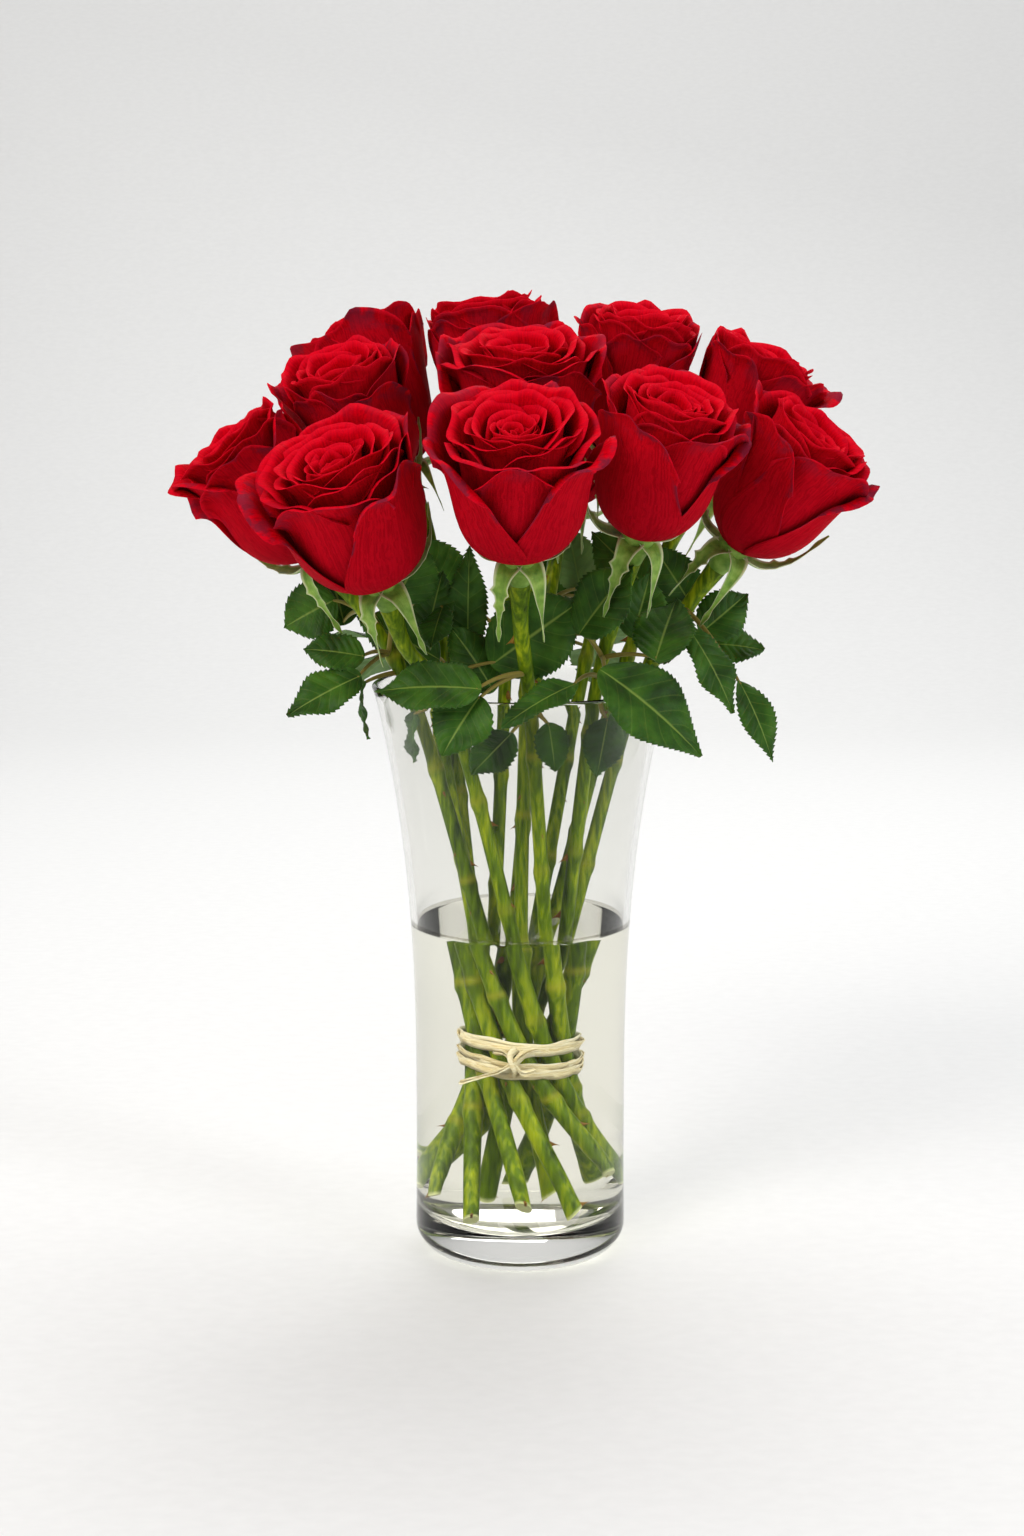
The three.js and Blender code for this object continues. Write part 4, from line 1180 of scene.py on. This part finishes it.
def leaf_finish():
    material, tree, shader = start_finish(
        "rose_leaf", IOR=1.45, Subsurface_Weight=0.06, Subsurface_Scale=0.001,
        Specular_IOR_Level=0.2, Sheen_Weight=0.05, Sheen_Tint=linear("#9FC4B0"),
    )
    across, vein, side, is_leaflet = (
        add(tree, "ShaderNodeAttribute", attribute_name=kept)
        for kept in ("across", "vein", "side", "leaflet")
    )
    place = add(tree, "ShaderNodeTexCoord")
    # Blotches about 10 mm across.
    blotch = add(tree, "ShaderNodeTexNoise",
                 {"Vector": place.outputs["Object"], "Scale": 90.0, "Detail": 4.0})
    green = add(tree, "ShaderNodeValToRGB", {"Fac": blotch.outputs["Fac"]}, stops=[
        (0.3, linear("#1E3A0A")), (0.5, linear("#2E5512")), (0.72, linear("#446E1C")),
    ])
    phase = add(tree, "ShaderNodeMath", {0: vein.outputs["Fac"]}, operation="FRACT")
    centred = add(tree, "ShaderNodeMath", {0: phase, 1: 0.5}, operation="SUBTRACT")
    apart = add(tree, "ShaderNodeMath", {0: centred}, operation="ABSOLUTE")
    side_vein = add(tree, "ShaderNodeMapRange", {"Value": apart, "From Min": 0.44, "From Max": 0.5,
                                                "To Min": 0.0, "To Max": 0.14})
    from_middle = add(tree, "ShaderNodeMath", {0: across.outputs["Fac"]}, operation="ABSOLUTE")
    midrib = add(tree, "ShaderNodeMapRange", {"Value": from_middle, "From Min": 0.01, "From Max": 0.055,
                                             "To Min": 0.6, "To Max": 0.0})
    ribs = add(tree, "ShaderNodeMath", {0: side_vein, 1: midrib}, operation="MAXIMUM")
    veined = add(tree, "ShaderNodeMix", {0: ribs, 6: green.outputs["Color"], 7: linear("#8FA84A")},
                 data_type="RGBA")
    below = add(tree, "ShaderNodeMath", {0: side.outputs["Fac"], 1: 0.55}, operation="MULTIPLY")
    two_sided = add(tree, "ShaderNodeMix", {0: below, 6: veined.outputs[2], 7: linear("#7E9C63")},
                    data_type="RGBA")
    colour = add(tree, "ShaderNodeMix", {0: is_leaflet.outputs["Fac"], 6: linear("#857A38"),
                                         7: two_sided.outputs[2]}, data_type="RGBA")
    tree.links.new(colour.outputs[2], shader.inputs["Base Color"])
    rough = add(tree, "ShaderNodeMapRange", {"Value": side.outputs["Fac"], "To Min": 0.5, "To Max": 0.7})
    tree.links.new(rough.outputs[0], shader.inputs["Roughness"])
    # The net of small veins, about 1.2 mm apart.
    net = add(tree, "ShaderNodeTexVoronoi", {"Vector": place.outputs["Object"], "Scale": 800.0},
              feature="DISTANCE_TO_EDGE")
    bump = add(tree, "ShaderNodeBump",
               {"Strength": 0.35, "Distance": 0.0003, "Height": net.outputs["Distance"]})
    tree.links.new(bump.outputs[0], shader.inputs["Normal"])
    return material


leaf_green = leaf_finish()

# %% Twenty-one leaves
for number, (name, (stem_name, up, leaflets)) in enumerate(LEAVES.items()):
    rng = np.random.default_rng(200 + number)
    path = stem_path(ROSES[stem_name])
    on_stem = path[np.argmin(np.abs(path[:, 2] - VASE_HEIGHT - up))]
    away = leaf_point(leaflets[0][0]) - on_stem
    away[2] = 0
    root = on_stem + away / np.linalg.norm(away) * 0.7 * STEM_RADIUS
    patches = []
    for base, tip, width, face in leaflets:
        start = leaf_point(base)
        joint = start + (leaf_point(tip) - start) * 0.05
        stalk = bent_line(root, joint, np.array([0, 0, 0.12 * np.linalg.norm(joint - root)]), 12)
        patches.append(tube(stalk, np.linspace(1.15, 0.6, 12), 9, leaflet=0.0))
        patches.append(leaflet(base, tip, width, face, rng))
    leaf = piece("leaf_" + name, mesh_of("leaf_" + name, patches), leaf_green, "leaf", "leaf_" + name)
print("leaves:", len(LEAVES), "the last of", len(leaf.data.polygons), "faces")

# %% [markdown]
# ## The raffia tie
# Raffia is a flat, dry palm fibre. The tie is a bundle of such ribbons wound twice round the stems and
# knotted in front. One tree makes any stretch of it: it copies a guide line, shifts and twists each copy
# a little differently, and sweeps a flat ribbon along it.

# %% The tree that lays ribbons along a line


def raffia_tree():
    tree, given = start_tree("ribbons along a line", {
        "Ribbons": "NodeSocketInt",
        "Play Out": "NodeSocketFloat",
        "Play Up": "NodeSocketFloat",
        "Width": "NodeSocketFloat",
        "Thickness": "NodeSocketFloat",
        "Twist": "NodeSocketFloat",
        "Seed": "NodeSocketInt",
        "Material": "NodeSocketMaterial",
    })
    curve = add(tree, "GeometryNodeMeshToCurve", {"Mesh": given.outputs["Geometry"]})
    copies = add(tree, "GeometryNodeDuplicateElements",
                 {"Geometry": curve, "Amount": given.outputs["Ribbons"]}, domain="SPLINE")
    marked = add(tree, "GeometryNodeStoreNamedAttribute",
                 {"Geometry": copies, "Name": "ribbon", "Value": copies.outputs["Duplicate Index"]})
    ribbon = add(tree, "GeometryNodeInputNamedAttribute", {"Name": "ribbon"})
    play = add(tree, "FunctionNodeRandomValue", {
        0: (-1, -1, -1), 1: (1, 1, 1), "ID": ribbon, "Seed": given.outputs["Seed"],
    }, data_type="FLOAT_VECTOR")
    here = add(tree, "GeometryNodeInputPosition")
    # Each ribbon wanders along its own noise, over about 17 mm.
    apart = add(tree, "ShaderNodeMath", {0: ribbon, 1: 3.7, 2: given.outputs["Seed"]},
                operation="MULTIPLY_ADD")
    wander = add(tree, "ShaderNodeTexNoise", {"Vector": here, "W": apart, "Scale": 60.0, "Detail": 1.0},
                 noise_dimensions="4D")
    centred = add(tree, "ShaderNodeVectorMath", {0: wander.outputs["Color"], 1: (0.5, 0.5, 0.5)},
                  operation="SUBTRACT")
    stretched = add(tree, "ShaderNodeVectorMath", {0: centred, 1: (2.4, 2.4, 2.4)}, operation="MULTIPLY")
    shift = add(tree, "ShaderNodeVectorMath", {0: play, 1: stretched}, operation="ADD")
    parts = add(tree, "ShaderNodeSeparateXYZ", {0: shift})
    outwards = add(tree, "ShaderNodeVectorMath", {0: here, 1: (1, 1, 0)}, operation="MULTIPLY")
    outward = add(tree, "ShaderNodeVectorMath", {0: outwards}, operation="NORMALIZE")
    out = add(tree, "ShaderNodeMath", {0: parts.outputs[0], 1: given.outputs["Play Out"]},
              operation="MULTIPLY")
    pushed = add(tree, "ShaderNodeVectorMath", {0: outward, "Scale": out}, operation="SCALE")
    rise = add(tree, "ShaderNodeMath", {0: parts.outputs[2], 1: given.outputs["Play Up"]},
               operation="MULTIPLY")
    upward = add(tree, "ShaderNodeCombineXYZ", {2: rise})
    offset = add(tree, "ShaderNodeVectorMath", {0: pushed, 1: upward}, operation="ADD")
    laid = add(tree, "GeometryNodeSetPosition", {"Geometry": marked, "Offset": offset})
    turn = add(tree, "ShaderNodeMath", {0: wander.outputs["Fac"], 1: given.outputs["Twist"]},
               operation="MULTIPLY")
    tilted = add(tree, "GeometryNodeSetCurveTilt", {"Curve": laid, "Tilt": turn})
    flat = add(tree, "GeometryNodeCurvePrimitiveQuadrilateral",
               {"Width": given.outputs["Thickness"], "Height": given.outputs["Width"]})
    swept = add(tree, "GeometryNodeCurveToMesh",
                {"Curve": tilted, "Profile Curve": flat, "Fill Caps": True})
    end_tree(tree, swept, given)
    return tree


grow_raffia = raffia_tree()

# %% [markdown]
# Dry raffia is cream to straw, streaked along the fibre, and slightly glossy on its flat side.

# %% The raffia's finish


def raffia_finish():
    material, tree, shader = start_finish("raffia", Roughness=0.6, IOR=1.5, Sheen_Weight=0.2)
    ribbon = add(tree, "ShaderNodeAttribute", attribute_name="ribbon")
    place = add(tree, "ShaderNodeTexCoord")
    # Fibres about 0.4 mm wide, drawn out round the bundle.
    drawn = add(tree, "ShaderNodeMapping", {"Vector": place.outputs["Object"], "Scale": (1.0, 1.0, 9.0)})
    fibres = add(tree, "ShaderNodeTexNoise", {"Vector": drawn, "Scale": 300.0, "Detail": 4.0})
    tone = add(tree, "ShaderNodeMath", {0: ribbon.outputs["Fac"], 1: 0.37}, operation="MULTIPLY")
    own = add(tree, "ShaderNodeMath", {0: tone}, operation="FRACT")
    share = add(tree, "ShaderNodeMath", {0: own, 1: 0.3, 2: fibres.outputs["Fac"]},
                operation="MULTIPLY_ADD")
    colour = add(tree, "ShaderNodeValToRGB", {"Fac": share}, stops=[
        (0.35, linear("#CDB67E")), (0.6, linear("#EBDDB0")), (0.85, linear("#F8F2DA")),
    ])
    tree.links.new(colour.outputs["Color"], shader.inputs["Base Color"])
    bump = add(tree, "ShaderNodeBump",
               {"Strength": 0.6, "Distance": 0.0004, "Height": fibres.outputs["Fac"]})
    tree.links.new(bump.outputs[0], shader.inputs["Normal"])
    return material


raffia = raffia_finish()

# %% The tie
BUNDLE = OUTER_RING + STEM_RADIUS + TIE_CLEARANCE


def ring_line(rise, tilt, tilt_to, reach):
    angles = np.radians(np.linspace(0, 360, 73))
    normal = leaning(tilt, tilt_to)
    ring = np.stack([reach * np.cos(angles), reach * np.sin(angles), 0 * angles], 1)
    ring[:, 2] = -(ring[:, 0] * normal[0] + ring[:, 1] * normal[1]) / normal[2]
    return ring + [0, 0, TIE_HEIGHT + rise]


knot = polar(KNOT_AZIMUTH, BUNDLE + 2.4, TIE_HEIGHT)
out, across = polar(KNOT_AZIMUTH, 1, 0), polar(KNOT_AZIMUTH + 90, 1, 0)


def knot_line(places):
    """A smooth line through places near the knot, each as (across, out, up)."""
    return spline([knot + across * a + out * o + [0, 0, u] for a, o, u in places], 10)


OVER = [(-7, -0.6, 4), (-3.5, 1.6, 4), (0, 2.4, 0), (3, 1.4, -4.5), (7, -0.8, -4)]
UNDER = [(-7, -0.8, -4), (-3, 1.8, -3.5), (0.5, 3.4, 0.5), (3.5, 1.6, 4), (7, -0.6, 4.5)]
ROUND = [(0.5, 0, 5.5), (-1.2, 3.6, 3.5), (-0.6, 4.4, 0), (0.8, 3.6, -3.5), (0, 0, -6)]
LONG_END = [(0, 3, 0), (-6, 2.6, -4), (-14, 1.2, -7.5), (-20, 3, -9.5)]
SHORT_END = [(0, 3, 0), (4, 3.4, 4), (9, 3, 6), (13, 3.4, 5)]
STRETCHES = [
    # line, ribbons, play out, play up, ribbon width, twist
    (ring_line(4.5, 5, 20, BUNDLE + 0.9), 9, 0.55, 2.2, 2.6, 0.9),
    (ring_line(-4, 6, 350, BUNDLE + 0.9), 9, 0.55, 2.4, 2.6, 0.9),
    (knot_line(OVER), 4, 0.6, 1.0, 2.6, 2.0),
    (knot_line(UNDER), 4, 0.6, 1.0, 2.6, 2.0),
    (knot_line(ROUND), 4, 0.5, 0.6, 2.4, 1.2),
    (knot_line(LONG_END), 3, 0.7, 0.8, 2.2, 3.0),
    (knot_line(SHORT_END), 2, 0.6, 0.6, 2.0, 3.0),
]
RIBBON_THICKNESS = 0.28
patches = []
for number, (line, ribbons, play_out, play_up, width, twist) in enumerate(STRETCHES):
    made = grown(f"stretch_{number}", grow_raffia, path_mesh("line", line), {
        "Ribbons": ribbons, "Play Out": play_out * MM, "Play Up": play_up * MM, "Width": width * MM,
        "Thickness": RIBBON_THICKNESS * MM, "Twist": twist, "Seed": 11 + number, "Material": raffia,
    })
    points = np.array([v.co for v in made.vertices]) / MM
    faces = [list(p.vertices) for p in made.polygons]
    shade = np.empty(len(points), np.float32)
    made.attributes["ribbon"].data.foreach_get("value", shade)
    patches.append((points, np.array(faces), {"ribbon": shade + 3 * number}))
tie = piece("raffia_tie", mesh_of("raffia_tie", patches), raffia, "raffia", "raffia_tie")
print("tie:", len(tie.data.polygons), "faces")

# %% [markdown]
# ## The studio
# A pale floor curves up into a backdrop. A large soft key stands front left, a weaker fill front right, and
# broad lights above and behind, so the glass shows long soft reflections and the petals keep their depth.
# The last light only washes the backdrop.

# %% Floor and backdrop


def backdrop():
    curve = arc(1.4, 0.7, 0.7, -90, 0, 14)
    outline = np.concatenate([[[-2.5, 0]], curve, [[2.1, 3.2]]])
    sides = np.linspace(-4, 4, 2)
    grid = np.array([[[x, y, z - 0.0003] for x in sides] for y, z in outline])
    points = grid.reshape(-1, 3).tolist()
    faces = [(2 * i, 2 * i + 1, 2 * i + 3, 2 * i + 2) for i in range(len(outline) - 1)]
    mesh = bpy.data.meshes.new("backdrop")
    mesh.from_pydata(points, [], faces)
    mesh.shade_smooth()
    return mesh


paper, paper_tree, paper_shader = start_finish("pale_paper", Roughness=0.85)
# Fibres in the paper, about 1 mm apart.
grain = add(paper_tree, "ShaderNodeTexNoise", {"Scale": 900.0, "Detail": 2.0})
tint = add(paper_tree, "ShaderNodeValToRGB", {"Fac": grain.outputs["Fac"]}, stops=[
    (0.3, linear("#E6E6E5")), (0.7, linear("#E9E9E8")),
])
paper_tree.links.new(tint.outputs["Color"], paper_shader.inputs["Base Color"])
floor = bpy.data.objects.new("backdrop", backdrop())
floor.data.materials.append(paper)
scene.collection.objects.link(floor)
floor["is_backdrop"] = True

# %% Lights


def soft_light(name, place, size, power, colour="#FFFFFF", aim=(0, 0, 0.22)):
    """A rectangular light that looks at the middle of the bouquet, or at another aim."""
    lamp = bpy.data.lights.new(name, "AREA")
    lamp.shape = "RECTANGLE"
    lamp.size, lamp.size_y = size
    lamp.energy = power
    lamp.color = linear(colour)[:3]
    holder = bpy.data.objects.new(name, lamp)
    holder.location = place
    holder.rotation_euler = (Vector(aim) - Vector(place)).to_track_quat("-Z", "Y").to_euler()
    scene.collection.objects.link(holder)


soft_light("key", (-1.1, -1.2, 1.4), (0.8, 1.4), 25, "#FFFAF5")
soft_light("fill", (1.5, -0.9, 0.8), (0.4, 1.4), 12, "#F8FAFF")
soft_light("top", (0.2, 0.5, 1.9), (1.4, 0.9), 10)
soft_light("back", (0.3, 1.3, 1.4), (1.4, 0.8), 8, aim=(0, 0, 0))
soft_light("wash", (0.0, 0.8, 2.6), (2.4, 0.6), 13, aim=(0, 2.1, 0.9))
sky = bpy.data.worlds.new("studio")
sky.use_nodes = True
sky.node_tree.nodes["Background"].inputs["Color"].default_value = linear("#F2F4F6")
sky.node_tree.nodes["Background"].inputs["Strength"].default_value = 0.35
scene.world = sky

# %% Camera
lens = bpy.data.cameras.new("camera")
lens.lens = 51.56
lens.sensor_width = 36
camera = bpy.data.objects.new("camera", lens)
camera.location = (-0.0035, -0.905, 0.364)
camera.rotation_euler = (math.radians(80.15), 0, 0)
scene.collection.objects.link(camera)
scene.camera = camera
scene.view_settings.view_transform = "Standard"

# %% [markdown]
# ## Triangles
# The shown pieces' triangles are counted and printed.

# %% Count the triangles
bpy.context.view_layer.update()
meshes = [thing.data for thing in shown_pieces() if thing.type == "MESH"]
print("triangles:", sum(len(face.vertices) - 2 for mesh in meshes for face in mesh.polygons))
